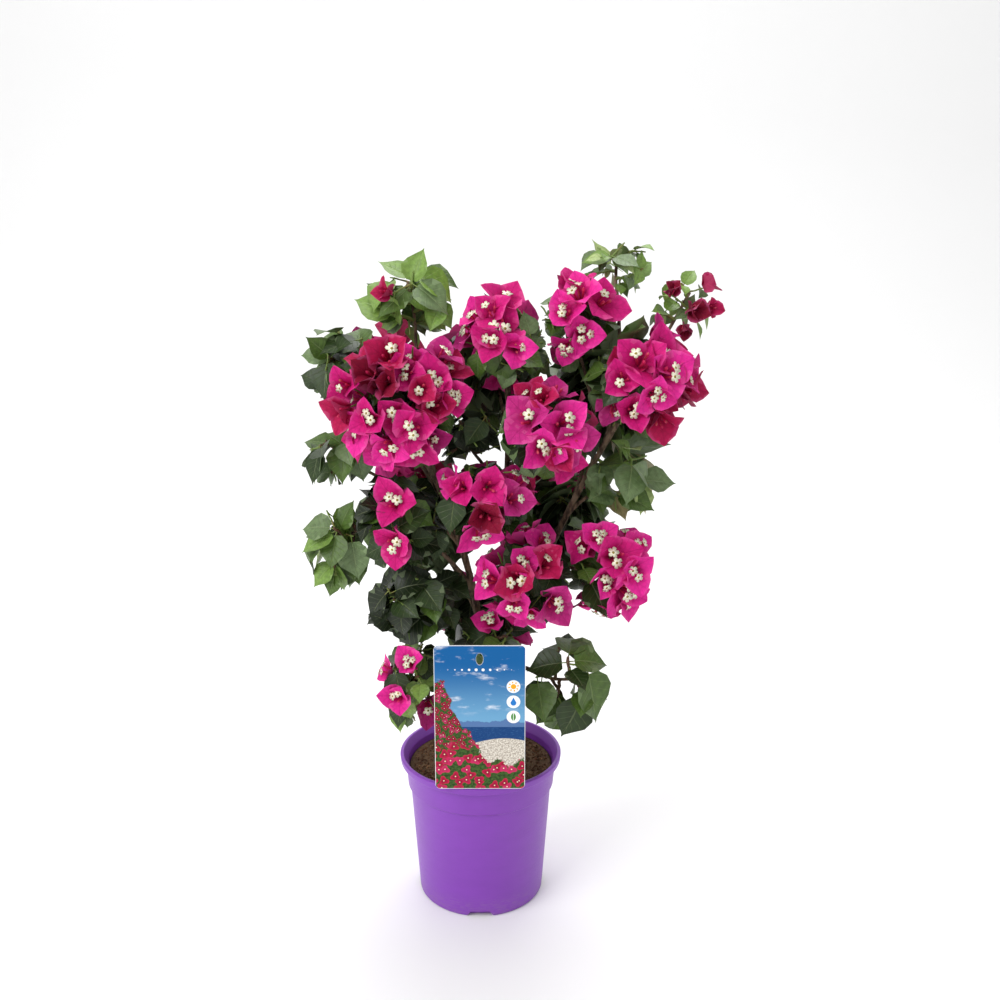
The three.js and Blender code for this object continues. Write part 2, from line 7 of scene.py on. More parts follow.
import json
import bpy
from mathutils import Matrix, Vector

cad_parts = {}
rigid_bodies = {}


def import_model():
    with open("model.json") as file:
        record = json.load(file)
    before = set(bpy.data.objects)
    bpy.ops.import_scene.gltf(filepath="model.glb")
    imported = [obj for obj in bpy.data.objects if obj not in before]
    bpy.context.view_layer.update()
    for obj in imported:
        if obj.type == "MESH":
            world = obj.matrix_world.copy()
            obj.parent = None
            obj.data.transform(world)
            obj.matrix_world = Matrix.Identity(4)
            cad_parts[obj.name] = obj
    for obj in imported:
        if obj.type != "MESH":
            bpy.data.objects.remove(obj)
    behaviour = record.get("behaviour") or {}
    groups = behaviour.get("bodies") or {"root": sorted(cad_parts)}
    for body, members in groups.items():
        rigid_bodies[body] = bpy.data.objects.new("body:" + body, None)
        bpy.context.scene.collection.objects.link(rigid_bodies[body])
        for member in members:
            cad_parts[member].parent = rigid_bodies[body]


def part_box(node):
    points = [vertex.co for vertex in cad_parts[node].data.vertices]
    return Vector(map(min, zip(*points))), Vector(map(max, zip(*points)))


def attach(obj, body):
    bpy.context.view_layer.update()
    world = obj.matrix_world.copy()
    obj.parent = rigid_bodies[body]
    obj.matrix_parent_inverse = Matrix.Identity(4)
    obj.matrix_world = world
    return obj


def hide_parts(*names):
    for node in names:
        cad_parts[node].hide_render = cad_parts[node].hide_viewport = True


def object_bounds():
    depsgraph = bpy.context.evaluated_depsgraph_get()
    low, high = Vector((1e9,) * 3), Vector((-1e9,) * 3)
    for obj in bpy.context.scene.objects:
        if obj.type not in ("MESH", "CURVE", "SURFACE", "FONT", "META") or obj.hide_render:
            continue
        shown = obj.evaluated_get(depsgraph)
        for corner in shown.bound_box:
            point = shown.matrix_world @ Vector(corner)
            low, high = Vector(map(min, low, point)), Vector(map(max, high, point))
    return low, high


bl_info = {
    "name": "Potted bougainvillea",
    "version": (1, 0, 0),
    "blender": (4, 5, 0),
    "location": "View3D > Sidebar > Bougainvillea",
    "description": "Builds the pot, label, limbs, leaves and blooms over the packed solids",
    "category": "Object",
}

from dataclasses import dataclass, field
from functools import lru_cache
from math import cos, floor, pi, radians, sin, sqrt, tan

import bpy
import numpy as np
from bpy.props import FloatProperty, FloatVectorProperty, IntProperty, PointerProperty
from bpy.types import Operator, Panel, PropertyGroup
from mathutils import Vector, geometry, noise

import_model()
cad_low, cad_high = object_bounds()
_, pot_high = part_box("pot")
soil_low, soil_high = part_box("potting_soil")
label_low, label_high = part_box("picture_label")

MM = 0.001
TURN = 2 * pi
GOLDEN_ANGLE = pi * (3 - sqrt(5))
UP = np.array([0.0, 0.0, 1.0])


def paint(red, green, blue):
    """A colour as people read it, 0 to 255 a channel, as the linear values that shaders take."""
    channels = [channel / 255 for channel in (red, green, blue)]
    return tuple(c / 12.92 if c <= 0.04045 else ((c + 0.055) / 1.055) ** 2.4 for c in channels)


# ---------- settings a user would change ----------


def metres(name, description, default, low=0.0, high=2.0):
    kind = {"min": low, "max": high, "subtype": "DISTANCE", "unit": "LENGTH"}
    return FloatProperty(name=name, description=description, default=default, **kind)


def share_of(name, description, default, high=1.0):
    kind = {"min": 0, "max": high, "subtype": "FACTOR"}
    return FloatProperty(name=name, description=description, default=default, **kind)


def angle_of(name, description, degrees):
    kind = {"default": radians(degrees), "subtype": "ANGLE", "unit": "ROTATION"}
    return FloatProperty(name=name, description=description, **kind)


def painted(name, description, *colour):
    kind = {"default": paint(*colour), "size": 3, "min": 0, "max": 1, "subtype": "COLOR"}
    return FloatVectorProperty(name=name, description=description, **kind)


class PotSettings(PropertyGroup):
    """The nursery pot and what fills it."""

    colour: painted("Pot colour", "Satin purple plastic", 128, 58, 174)
    lip_height: metres("Lip height", "Height of the band round the rim", 0.008)
    collar_height: metres("Collar height", "From the rim down to the collar's lower edge", 0.034)
    collar_top: metres("Collar top radius", "Radius of the collar under the lip", 0.079)
    collar_foot: metres("Collar foot radius", "Radius at the collar's lower edge", 0.077)
    wall_top: metres("Wall top radius", "Radius of the wall under the collar", 0.0745)
    wall_foot: metres("Wall foot radius", "Radius of the wall at the floor", 0.066)
    wall: metres("Wall thickness", "Thickness of the plastic", 0.0026)
    floor: metres("Floor thickness", "Thickness of the pot's bottom", 0.004)
    rounding: metres("Edge rounding", "Radius of the moulded edges", 0.0012)
    foot_rounding: metres("Foot rounding", "Radius of the edge that the pot stands on", 0.003)
    notches: IntProperty(name="Notches", description="Drain notches round the foot", default=4, min=0, max=12)
    notch_width: metres("Notch width", "Width of a drain notch at the floor", 0.029)
    notch_height: metres("Notch height", "Height of a drain notch", 0.0065)
    notch_lean: metres("Notch lean", "How far a notch's sides lean in", 0.005)
    soil_colour: painted("Soil colour", "Moist peat", 102, 80, 60)
    chip_colour: painted("Chip colour", "Bark chips in the peat", 112, 76, 52)
    soil_level: metres("Soil level", "Height of the soil above the floor", 0.144)
    chips: FloatProperty(name="Chips", description="Chips on each square metre of soil", default=90000, min=0)


class LimbSettings(PropertyGroup):
    """Trunk, boughs, twigs and stalks."""

    bark_colour: painted("Bark colour", "Ridges of the old bark", 128, 106, 86)
    crevice_colour: painted("Crevice colour", "Cracks of the old bark", 62, 45, 36)
    twig_colour: painted("Twig colour", "Ripened wood of the twigs", 92, 66, 48)
    shoot_colour: painted("Shoot colour", "Soft shoots and leaf stalks", 110, 132, 62)
    relief: metres("Bark relief", "Depth of the bark's cracks on the trunk", 0.0011)
    stalk_radius: metres("Stalk radius", "Radius of a leaf stalk", 0.0007)


class LeafSettings(PropertyGroup):
    """The leaves' shape and their tints."""

    width: share_of("Width", "Width of a leaf, of its length", 0.76)
    stalk: share_of("Stalk", "Length of a leaf's stalk, of its whole length", 0.16)
    thickness: metres("Thickness", "Thickness of a leaf", 0.0005)
    # Deep green is partly the old leaves' own colour and partly painted shade for leaves inside the crown.
    deep: painted("Deep green", "Old leaves inside the crown", 22, 34, 12)
    dark: painted("Dark green", "Old leaves", 38, 56, 20)
    mid: painted("Green", "Full-grown leaves", 74, 100, 38)
    # Grey green is a painted reflection of the sky, given to whole leaves as their base colour.
    sheen: painted("Grey green", "Leaves that catch the sky", 102, 124, 80)
    young: painted("Young green", "Leaves of this year's shoots", 118, 150, 68)
    lime: painted("Lime green", "Leaves at the shoots' tips", 122, 158, 56)
    pale: painted("Pale green", "The newest leaves", 164, 184, 116)
    bronze: painted("Bronze", "New leaves that are still bronze", 164, 154, 110)


class BloomSettings(PropertyGroup):
    """The three-bract blooms and the small flowers inside them."""

    bract_width: share_of("Bract width", "Width of a bract, of its length", 0.98, high=1.5)
    bract_thickness: metres("Bract thickness", "Thickness of a bract", 0.0004)
    star_radius: metres("Star radius", "Radius of an open floret", 0.0061)
    tube_radius: metres("Tube radius", "Radius of a floret's tube", 0.0012)
    # Bright pink is a painted lit copy of the magenta, for bracts in full light.
    bright: painted("Bright pink", "Bracts in full light", 236, 42, 154)
    magenta: painted("Magenta", "Full-grown bracts", 212, 24, 124)
    orchid: painted("Orchid", "Older bracts", 196, 40, 128)
    crimson: painted("Crimson", "Young bracts", 184, 18, 80)
    wine: painted("Wine red", "Bracts in bud", 138, 12, 50)
    star_colour: painted("Star colour", "Open florets", 250, 246, 220)
    throat_colour: painted("Throat colour", "Middle of an open floret", 176, 150, 52)
    tube_colour: painted("Tube colour", "Florets' tubes and buds", 190, 34, 84)


class LabelSettings(PropertyGroup):
    """The picture card over the pot's front."""

    corner: metres("Corner radius", "Radius of the card's corners", 0.005)
    thickness: metres("Card thickness", "Thickness of the card", 0.0009)
    border: metres("Border", "Width of the white edge round the picture", 0.0004)
    sign_size: metres("Sign size", "Radius of a sign of care", 0.0066)
    eye_width: metres("Eye width", "Width of the hanging eye", 0.007)
    eye_height: metres("Eye height", "Height of the hanging eye", 0.012)
    eye_drop: metres("Eye drop", "From the top edge to the middle of the eye", 0.014)
    sky_colour: painted("Sky colour", "Top of the picture", 0, 92, 156)
    haze_colour: painted("Haze colour", "Sky over the hills", 112, 168, 206)
    petal_colour: painted("Petal colour", "Blossom in the picture", 190, 14, 66)
    leaf_colour: painted("Leaf colour", "Leaves in the picture", 66, 100, 40)


class StageSettings(PropertyGroup):
    """Camera, light and floor."""

    camera_side: metres("Camera side", "How far the camera stands to the right", 0.0205, -5, 5)
    camera_distance: metres("Camera distance", "From the pot's middle to the camera", 1.05, 0.1, 10)
    camera_height: metres("Camera height", "Height of the camera above the floor", 0.702, 0, 5)
    camera_dip: angle_of("Camera dip", "How far the camera looks down", 14.5)
    lens: FloatProperty(name="Lens", description="Focal length in millimetres", default=39.1, min=10, max=200)
    floor_colour: painted("Floor colour", "Pale floor and backdrop", 244, 244, 244)
    light: FloatProperty(name="Light", description="Strength of the studio light", default=1.0, min=0, max=10)


SETTINGS = {
    "pot": PotSettings,
    "limbs": LimbSettings,
    "leaves": LeafSettings,
    "blooms": BloomSettings,
    "label": LabelSettings,
    "stage": StageSettings,
}


def settings(group):
    """The scene's settings for one group of pieces."""
    return getattr(bpy.context.scene, "bougainvillea_" + group)


# ---------- the growth rule's sizes, in millimetres, as the solids have them ----------
CLEARANCE = 0.3
RIM = pot_high.z / MM
LABEL_BACK = -84 + 15.5 + 4  # leaves keep behind this while the card hides them
LABEL_SIDE = 88 / 2 + 4
LABEL_MIDDLE = 1
LABEL_TOP = RIM + 151 + 5

TRUNK_FOOT = (-2, 7, 147 + CLEARANCE)
TRUNK_FORK = (5, 11, 204)
TRUNK_UPRIGHT = 0.5
TRUNK_RADII = {"flare": 10.5, "foot": 7.4, "fork": 6.2}
FLARE_SHARE = 0.22
BOUGH_SHARE, BOUGH_TAPER, BOUGH_LEAST = 0.74, 0.55, 2.2
BOUGH_ENTRY, BOUGH_FOLLOW = 0.72, 0.5
STEM_TIP, STEM_REACH = 1.5, 0.36
TWIG_BASE, TWIG_SPREAD, TWIG_VARIATION, TWIG_SURFACE = 1.8, 0.56, 0.16, 310
LEAF_WIDEST, LEAF_WIDTH, LEAF_CUP, LEAF_SUNK, LEAF_MARGIN = 0.42, 0.76, 0.08, 1.2, 1.1
BLOOM_LENGTH, BLOOM_OPENING = 36, radians(58)
SHOULDER, SHOULDER_TURN = 0.76, radians(33)
LEAF_STRETCH, BLOOM_STRETCH = 1.2, 1.24
LIMB_MARGIN, LIMB_STRETCHES = 3.5, 8
RIM_MARGIN = 4
BLADE_GAP = 6.0

# The finer growth that the solids leave out.
FINE_GAP = 2.5  # between the sampled points of two blades
TRIES = 30  # places that a leaf tries
SIDE_TWIG_RADIUS, SIDE_TWIG_TIP = 1.0, 0.7
SIDE_TWIG_SPREADS = (1.0, 0.86, 0.72, 0.58)  # lengths tried, of the first one
SIDE_TWIG_REACH = (0.6, 0.86)  # of the mass's reach
CUP_GAP = 0.6  # between the middles of two blooms, of a bract's length
BLOOM_PLACES = (1, 0.85, 0.7, 0.5)  # places that a side twig's bloom tries along it
VIEW_DEPTH, VIEW_WIDTH = 1.7, 0.7  # room that leaves keep clear before a bloom, of a bract's length

# How often each tint comes up among a mass's leaves and its bracts.
OLD_TINTS = {"deep": 4, "dark": 5, "mid": 3, "sheen": 2}
FULL_TINTS = {"dark": 4, "mid": 5, "sheen": 4}
TUFT_TINTS = {"mid": 4, "sheen": 2, "young": 8, "lime": 1}
FRESH_TINTS = {"mid": 3, "sheen": 7, "young": 4, "pale": 1}
SHOOT_TINTS = {"mid": 2, "sheen": 3, "young": 5, "lime": 1, "pale": 2}
BRONZE_TINTS = {"dark": 1, "mid": 4, "sheen": 6, "young": 2, "pale": 2, "bronze": 5}
# Painted shade: mostly the deep and dark greens, for the masses inside the crown.
INNER_SHADE_TINTS = {"deep": 8, "dark": 4, "mid": 1}
FOOT_TINTS = {"dark": 3, "mid": 4, "young": 4, "lime": 3}
LOW_TINTS = {"dark": 6, "mid": 6, "sheen": 1}
# Mostly the bright pink: painted light for blooms in full light.
TOP_BRACTS = {"bright": 10, "magenta": 4, "orchid": 1, "crimson": 1}
OPEN_BRACTS = {"bright": 4, "magenta": 6, "orchid": 3, "crimson": 4, "wine": 1}
RED_BRACTS = {"bright": 2, "magenta": 6, "orchid": 3, "crimson": 4}
DEEP_BRACTS = {"bright": 2, "magenta": 5, "orchid": 3, "crimson": 4, "wine": 2}
# Painted shade: mostly the darker crimson and wine, for blooms inside the crown.
INNER_SHADE_BRACTS = {"bright": 2, "magenta": 2, "crimson": 4, "wine": 2}
BUD_BRACTS = {"crimson": 2, "wine": 5}


@dataclass(frozen=True)
class Kind:
    """What a mass of foliage bears."""

    leaves: float  # leaves for each main twig
    leaf: float  # their length
    blooming: float  # share of the main twigs that end in a bloom
    leaf_tints: dict
    bract_tints: dict = field(default_factory=lambda: DEEP_BRACTS)
    bloom: float = BLOOM_LENGTH
    surface: float = 130  # part of the mass's surface for each side twig
    side_blooming: float = 0.0  # share of the side twigs that end in a bloom
    side_leaves: int = 2  # leaves for each side twig
    side_leaf: tuple = (0.7, 1.0)  # their length, of the leaves on the main twigs
    side_droop: tuple = (0.4, 1.2)  # how much they hang
    slender: float = 1.0  # width of a leaf, of a common leaf's
    green: bool = False  # whether the main twigs are soft green shoots


TRUSS = Kind(1.6, 56, 0.7, OLD_TINTS, OPEN_BRACTS, surface=62, side_blooming=0.75, side_leaves=1)
TOP_TRUSS = Kind(1.6, 56, 0.7, FULL_TINTS, TOP_BRACTS, surface=52, side_blooming=0.95, side_leaves=1)
RED_TRUSS = Kind(1.6, 56, 0.7, FULL_TINTS, RED_BRACTS, surface=66, side_blooming=0.75, side_leaves=1)
HALF_TRUSS = Kind(1.6, 56, 0.5, FULL_TINTS, TOP_BRACTS, surface=54, side_blooming=0.95, side_leaves=1)
LOW_TRUSS = Kind(1.6, 56, 0.5, FULL_TINTS, TOP_BRACTS, surface=70, side_blooming=0.7, side_leaves=1)
SPARSE_TRUSS = Kind(1.6, 56, 0.45, OLD_TINTS, TOP_BRACTS, surface=80, side_blooming=0.4, side_leaves=4)
CENTRE = Kind(2.8, 60, 0.3, OLD_TINTS, surface=80, side_blooming=0.5, side_leaves=4, side_leaf=(0.8, 1.05))
MIXED = Kind(2.8, 60, 0.3, OLD_TINTS, TOP_BRACTS, surface=110, side_blooming=0.3)
FOOT = Kind(2.8, 60, 0.3, FOOT_TINTS, TOP_BRACTS, surface=110, side_blooming=0.3)
SHADED = Kind(2.8, 60, 0.3, INNER_SHADE_TINTS, INNER_SHADE_BRACTS, surface=80, side_leaves=4, side_leaf=(0.85, 1.15))
BUDS = Kind(2.8, 32, 0.3, SHOOT_TINTS, BUD_BRACTS, 22, 130, 0.5, 1, slender=0.75, green=True)
LEAFY = Kind(3.1, 62, 0, FULL_TINTS, side_leaf=(0.8, 1.08))
LOW_LEAFY = Kind(3.1, 62, 0, INNER_SHADE_TINTS, INNER_SHADE_BRACTS, surface=90, side_leaves=4, side_leaf=(0.85, 1.15))
FOOT_LEAFY = Kind(3.1, 62, 0, LOW_TINTS, surface=420, side_leaves=1, side_leaf=(0.95, 1.25))
SPARSE_LEAFY = Kind(3.1, 62, 0, FULL_TINTS, DEEP_BRACTS, BLOOM_LENGTH, 260, 0, 1, (0.9, 1.2), (0.9, 2))
HANGING = Kind(3, 50, 0, FRESH_TINTS, surface=260, side_leaves=1, side_leaf=(0.95, 1.35), side_droop=(1, 2.2))
TUFT = Kind(3, 52, 0, TUFT_TINTS, BUD_BRACTS, 24, 200, 0.12, 1, (0.9, 1.2), (0.7, 1.6), green=True)
SHOOT = Kind(3, 36, 0, SHOOT_TINTS, side_leaf=(0.45, 0.9), slender=0.75, green=True)
BRONZED = Kind(3, 50, 0, BRONZE_TINTS, surface=260, side_leaves=1, green=True)
BACK = Kind(2.1, 60, 0.2, OLD_TINTS, OPEN_BRACTS, surface=110, side_blooming=0.25, side_leaves=4)


@dataclass(frozen=True)
class Mass:
    """A mass of foliage: the middle and reach of its space, and where its bough leaves which limb."""

    centre: tuple
    reach: tuple
    parent: str
    along: float
    kind: Kind

    def ellipsoid(self):
        """The middle and the reach as arrays."""
        return np.array(self.centre, float), np.array(self.reach, float)

    def mean_reach(self):
        return sum(self.reach) / 3

    def mean_surface(self):
        x, y, z = self.reach
        return (x * y + y * z + z * x) / 3


MASSES = {
    "left_truss": Mass((-66, -50, 538), (76, 52, 64), "trunk", 1, TRUSS),
    "top_middle": Mass((30, -30, 590), (54, 46, 46), "trunk", 1, TOP_TRUSS),
    "right_truss": Mass((148, -44, 556), (58, 54, 56), "trunk", 1, RED_TRUSS),
    "left_tuft": Mass((-64, -12, 628), (46, 40, 48), "left_truss", 0.86, TUFT),
    "left_shoulder": Mass((-130, -2, 568), (40, 44, 42), "left_truss", 0.78, LEAFY),
    "left_side": Mass((-138, -10, 484), (40, 38, 40), "left_truss", 0.62, SPARSE_LEAFY),
    "left_hanging": Mass((-141, -18, 396), (36, 34, 56), "left_side", 0.55, HANGING),
    "right_top": Mass((92, -30, 608), (50, 44, 46), "right_truss", 0.84, HALF_TRUSS),
    "right_shoot": Mass((132, 0, 662), (42, 34, 30), "right_truss", 0.92, SHOOT),
    "right_buds": Mass((194, -8, 624), (36, 30, 34), "right_truss", 0.96, BUDS),
    "centre_upper": Mass((62, -66, 516), (54, 44, 50), "top_middle", 0.72, TRUSS),
    "centre_left": Mass((-12, -40, 506), (42, 40, 42), "top_middle", 0.6, SHADED),
    "centre_mid": Mass((4, -62, 450), (52, 44, 52), "top_middle", 0.5, CENTRE),
    "right_mid": Mass((132, -26, 466), (54, 46, 46), "right_truss", 0.66, BRONZED),
    "right_low": Mass((122, -44, 378), (46, 44, 52), "right_truss", 0.46, LOW_TRUSS),
    "left_mid": Mass((-72, -50, 426), (48, 44, 52), "left_truss", 0.44, SHADED),
    "centre_low": Mass((50, -56, 370), (56, 42, 46), "top_middle", 0.28, SPARSE_TRUSS),
    "left_low": Mass((-64, -36, 340), (52, 46, 42), "left_truss", 0.26, LOW_LEAFY),
    "left_foot": Mass((-64, -46, 258), (36, 36, 54), "left_truss", 0.1, FOOT),
    "right_foot": Mass((86, -40, 258), (42, 38, 62), "right_truss", 0.12, FOOT_LEAFY),
    "centre_core": Mass((12, -26, 288), (44, 34, 42), "top_middle", 0.08, MIXED),
    "back_left": Mass((-92, 56, 532), (64, 48, 68), "left_truss", 0.7, BACK),
    "back_centre": Mass((14, 58, 562), (54, 48, 60), "top_middle", 0.8, BACK),
    "back_right": Mass((118, 56, 528), (66, 48, 70), "right_truss", 0.72, BACK),
    "back_low_left": Mass((-62, 54, 402), (60, 46, 60), "left_truss", 0.34, BACK),
    "back_low_right": Mass((78, 54, 398), (60, 46, 60), "right_truss", 0.36, BACK),
    "back_foot": Mass((6, 50, 288), (52, 38, 50), "trunk", 0.86, BACK),
}
FIRST_SEED, SEED_STEP = 17, 31


# ---------- small helpers ----------


def unit(vector):
    """A vector, or each row of an array of them, at length 1."""
    return vector / np.linalg.norm(vector, axis=-1, keepdims=True)


def square_to(line, turn):
    """A direction square to a line, turned about it. An array of turns gives as many rows."""
    aside = UP if abs(line[2]) < 0.9 else np.array([1.0, 0.0, 0.0])
    first = unit(np.cross(aside, line))
    return np.multiply.outer(np.cos(turn), first) + np.multiply.outer(np.sin(turn), np.cross(line, first))


def spread_round(axis, count, first=0):
    """Directions spread evenly all round, from one end of an axis to the other."""
    for i in range(count):
        height = (2 * i + 1) / count - 1
        side = square_to(axis, first + i * GOLDEN_ANGLE)
        yield side * sqrt(1 - height * height) + axis * height


class Dice:
    """Seeded numbers from 0 to 1, the same run of them as the solids' rule draws."""

    def __init__(self, seed):
        self.state = seed & 0xFFFFFFFF

    def __call__(self):
        self.state = (1664525 * self.state + 1013904223) & 0xFFFFFFFF
        return self.state / 4294967296

    def between(self, low, high):
        return low + (high - low) * self()

    def pick(self, weights):
        """One of the names, each as often as its weight says."""
        left = self() * sum(weights.values())
        for name, weight in weights.items():
            left -= weight
            if left < 0:
                return name
        return name


# ---------- limbs ----------


class Limb:
    """A line bent from start to end about a middle, and the radius along it."""

    def __init__(self, start, middle, end, radius_at):
        self.start, self.middle, self.end = (np.array(p, float) for p in (start, middle, end))
        self.radius_at = radius_at

    def at(self, along):
        back = 1 - along
        return back * back * self.start + 2 * back * along * self.middle + along * along * self.end

    def heading(self, along, step=1e-4):
        return unit(self.at(min(along + step, 1)) - self.at(max(along - step, 0)))


def tapered(first, last):
    return lambda along: first + (last - first) * along


def straight_limb(start, end, first, last):
    return Limb(start, (start + end) / 2, end, tapered(first, last))


def trunk_limb():
    foot, fork = TRUNK_FOOT, TRUNK_FORK
    middle = (foot[0], foot[1], foot[2] + TRUNK_UPRIGHT * (fork[2] - foot[2]))
    plain = tapered(TRUNK_RADII["foot"], TRUNK_RADII["fork"])
    flare = TRUNK_RADII["flare"] - TRUNK_RADII["foot"]
    return Limb(foot, middle, fork, lambda along: plain(along) + flare * max(0, 1 - along / FLARE_SHARE) ** 2)


def bough_limb(mass, limbs):
    """The bough that carries a mass: it leaves its parent and ends inside the near side of the space."""
    parent = limbs[mass.parent]
    centre, reach = mass.ellipsoid()
    start = parent.at(mass.along)
    end = centre + unit((start - centre) / reach) * BOUGH_ENTRY * reach
    chord = end - start
    leaving = parent.heading(mass.along) * BOUGH_FOLLOW * np.linalg.norm(chord)
    middle = start + chord * 0.5 * (1 - BOUGH_FOLLOW) + leaving * 0.5
    radius = max(BOUGH_LEAST, parent.radius_at(mass.along) * BOUGH_SHARE)
    return Limb(start, middle, end, tapered(radius, max(radius * BOUGH_TAPER, STEM_TIP)))


def stem_limb(mass, bough):
    """The stem goes on from the bough's tip, through the middle of the space."""
    centre, reach = mass.ellipsoid()
    forward = bough.heading(1)
    start = bough.at(1) + forward * CLEARANCE
    end = centre + unit((centre - start) / reach) * STEM_REACH * reach
    middle = start + forward * 0.45 * np.linalg.norm(end - start)
    return Limb(start, middle, end, tapered(bough.radius_at(1), STEM_TIP))


# ---------- the space that a mass keeps to ----------


class Space:
    """The room that a mass keeps to: its own side of the planes to its neighbours, clear of every limb."""

    def __init__(self, mass, limbs):
        self.centre, self.reach = mass.ellipsoid()
        self.power = mass.mean_reach() ** 2
        others = [other for other in MASSES.values() if other is not mass]
        self.other_centres = np.array([other.centre for other in others], float)
        self.other_powers = np.array([other.mean_reach() ** 2 for other in others])
        self.distances = np.linalg.norm(self.other_centres - self.centre, axis=1)
        near = max(self.reach) * 1.3 + 40
        starts, runs, radii = [], [], []
        for limb in limbs.values():
            for k in range(LIMB_STRETCHES):
                start, end = limb.at(k / LIMB_STRETCHES), limb.at((k + 1) / LIMB_STRETCHES)
                if np.linalg.norm((start + end) / 2 - self.centre) < near:
                    starts.append(start)
                    runs.append(end - start)
                    radii.append(limb.radius_at(k / LIMB_STRETCHES))
        self.starts, self.runs, self.radii = np.array(starts), np.array(runs), np.array(radii)

    def inside(self, points, stretch, margin):
        """Whether each point lies in the space, by a margin from the neighbours' spaces."""
        x, y, z = points.T
        near = np.linalg.norm((points - self.centre) / self.reach, axis=1) <= stretch
        hidden = (abs(x - LABEL_MIDDLE) <= LABEL_SIDE) & (z <= LABEL_TOP) & (y < LABEL_BACK)
        own = ((points - self.centre) ** 2).sum(1) - self.power
        theirs = ((points[:, None] - self.other_centres) ** 2).sum(2) - self.other_powers
        apart = np.all(theirs - own[:, None] >= 2 * margin * self.distances, axis=1)
        return near & apart & (z >= RIM + RIM_MARGIN) & ~hidden

    def clear(self, points):
        """Whether each point is clear of every limb."""
        offsets = points[:, None] - self.starts
        share = (offsets * self.runs).sum(2) / (self.runs**2).sum(1)
        nearest = self.runs * np.clip(share, 0, 1)[:, :, None]
        return np.all(np.linalg.norm(offsets - nearest, axis=2) > self.radii + LIMB_MARGIN, axis=1)

    def holds(self, points, stretch, margin):
        """Whether every point lies in the space and is clear of every limb."""
        return bool(self.inside(points, stretch, margin).all() and self.clear(points).all())


# ---------- leaves and blooms of the rule ----------


def facing(mass):
    """The side of the crown that a mass looks to."""
    return unit(np.array([(mass.centre[0] - 20) / 220, 1 if mass.centre[1] > 20 else -1, 0.25]))


@dataclass
class Leaf:
    """A leaf's root, the ways that it points and faces, its length, and its width of a common leaf's."""

    root: np.ndarray
    forward: np.ndarray
    face: np.ndarray
    length: float
    slender: float
    tint: str = ""


@dataclass
class Bloom:
    """A three-bract bloom's root, its axis, its turn about it and its bracts' length."""

    root: np.ndarray
    axis: np.ndarray
    turn: float
    length: float
    tint: str = ""

    def middle(self):
        return self.root + self.axis * 0.55 * self.length

    def point(self, out, angle):
        aside = square_to(self.axis, self.turn + angle)
        ahead = self.axis * cos(BLOOM_OPENING) + aside * sin(BLOOM_OPENING)
        return self.root + ahead * out * self.length

    def samples(self):
        thirds = [bract * TURN / 3 for bract in range(3)]
        rim = [(SHOULDER, m - SHOULDER_TURN) for m in thirds] + [(1, m) for m in thirds]
        rim += [(SHOULDER, m + SHOULDER_TURN) for m in thirds]
        edge = np.array([self.point(out, angle) for out, angle in rim])
        return np.concatenate([edge, edge * 0.6 + self.root * 0.4])


def blade_places():
    """Where a leaf is sampled: along it, and across it from one edge to the other."""
    places = [(1, 0)]
    for along in (0.3, LEAF_WIDEST, 0.62, 0.8):
        half = min(along / LEAF_WIDEST, (1 - along) / (1 - LEAF_WIDEST))
        places += [(along, across) for across in (-half, -half / 2, 0, half / 2, half)]
    return np.array(places).T


def leaf_samples(roots, forwards, faces, lengths):
    """Sampled points of leaves, (leaf, point, 3)."""
    along, across = blade_places()
    lengths = lengths[:, None, None]
    half = lengths * LEAF_WIDTH / 2
    sides = np.cross(faces, forwards)[:, None]
    ahead = forwards[:, None] * along[:, None] * lengths
    aside = sides * across[:, None] * half
    lift = faces[:, None] * LEAF_CUP * abs(across)[:, None] * half * 2
    return roots[:, None] + ahead + aside + lift


class Crowd:
    """The blades that a mass holds already."""

    def __init__(self, space):
        self.space = space
        self.taken = np.zeros((0, 3))
        self.blooms = []

    def apart(self, points, gap):
        """Whether no point is within a gap of a blade that is here already."""
        low, high = points.min(0) - gap, points.max(0) + gap
        near = self.taken[((self.taken >= low) & (self.taken <= high)).all(1)]
        return not np.any(((points[:, None] - near) ** 2).sum(2) <= gap * gap)

    def shows_blooms(self, points):
        """Whether each point keeps out of the room before the blooms."""
        shown = np.ones(len(points), bool)
        for bloom in self.blooms:
            away = points - bloom.root
            ahead = away @ bloom.axis / bloom.length
            aside = np.linalg.norm(away - np.outer(away @ bloom.axis, bloom.axis), axis=1) / bloom.length
            within = VIEW_WIDTH * np.clip(0.3 + ahead, 0, 1)
            shown &= (ahead < 0.1) | (ahead > VIEW_DEPTH) | (aside > within)
        return shown

    def takes_bloom(self, bloom, gap):
        """Adds a bloom, if it has room."""
        points = bloom.samples()
        if not self.space.holds(points, BLOOM_STRETCH, LEAF_MARGIN) or not self.apart(points, gap):
            return False
        room = CUP_GAP * bloom.length
        if any(np.linalg.norm(bloom.middle() - other.middle()) < room for other in self.blooms):
            return False
        self.taken = np.concatenate([self.taken, points])
        self.blooms.append(bloom)
        return True

    def first_fit(self, tries, gap):
        """The first of several tries of a leaf, (try, point, 3), that has room, or None."""
        flat = tries.reshape(-1, 3)
        free = self.space.inside(flat, LEAF_STRETCH, LEAF_MARGIN) & self.shows_blooms(flat)
        free = free.reshape(tries.shape[:2]).all(1)
        for index in np.flatnonzero(free):
            points = tries[index]
            if self.apart(points, gap) and self.space.clear(points).all():
                self.taken = np.concatenate([self.taken, points])
                return index
        return None


def twig_starts(mass, stem, seed):
    """Where the twigs leave the stem and the directions they take, spread evenly along and round it."""
    count = floor(mass.mean_surface() / TWIG_SURFACE + 0.5)
    axis = unit(stem.at(1) - stem.at(0))
    for i, direction in enumerate(spread_round(axis, count, seed)):
        yield 0.1 + 0.9 * (i + 0.5) / count, direction


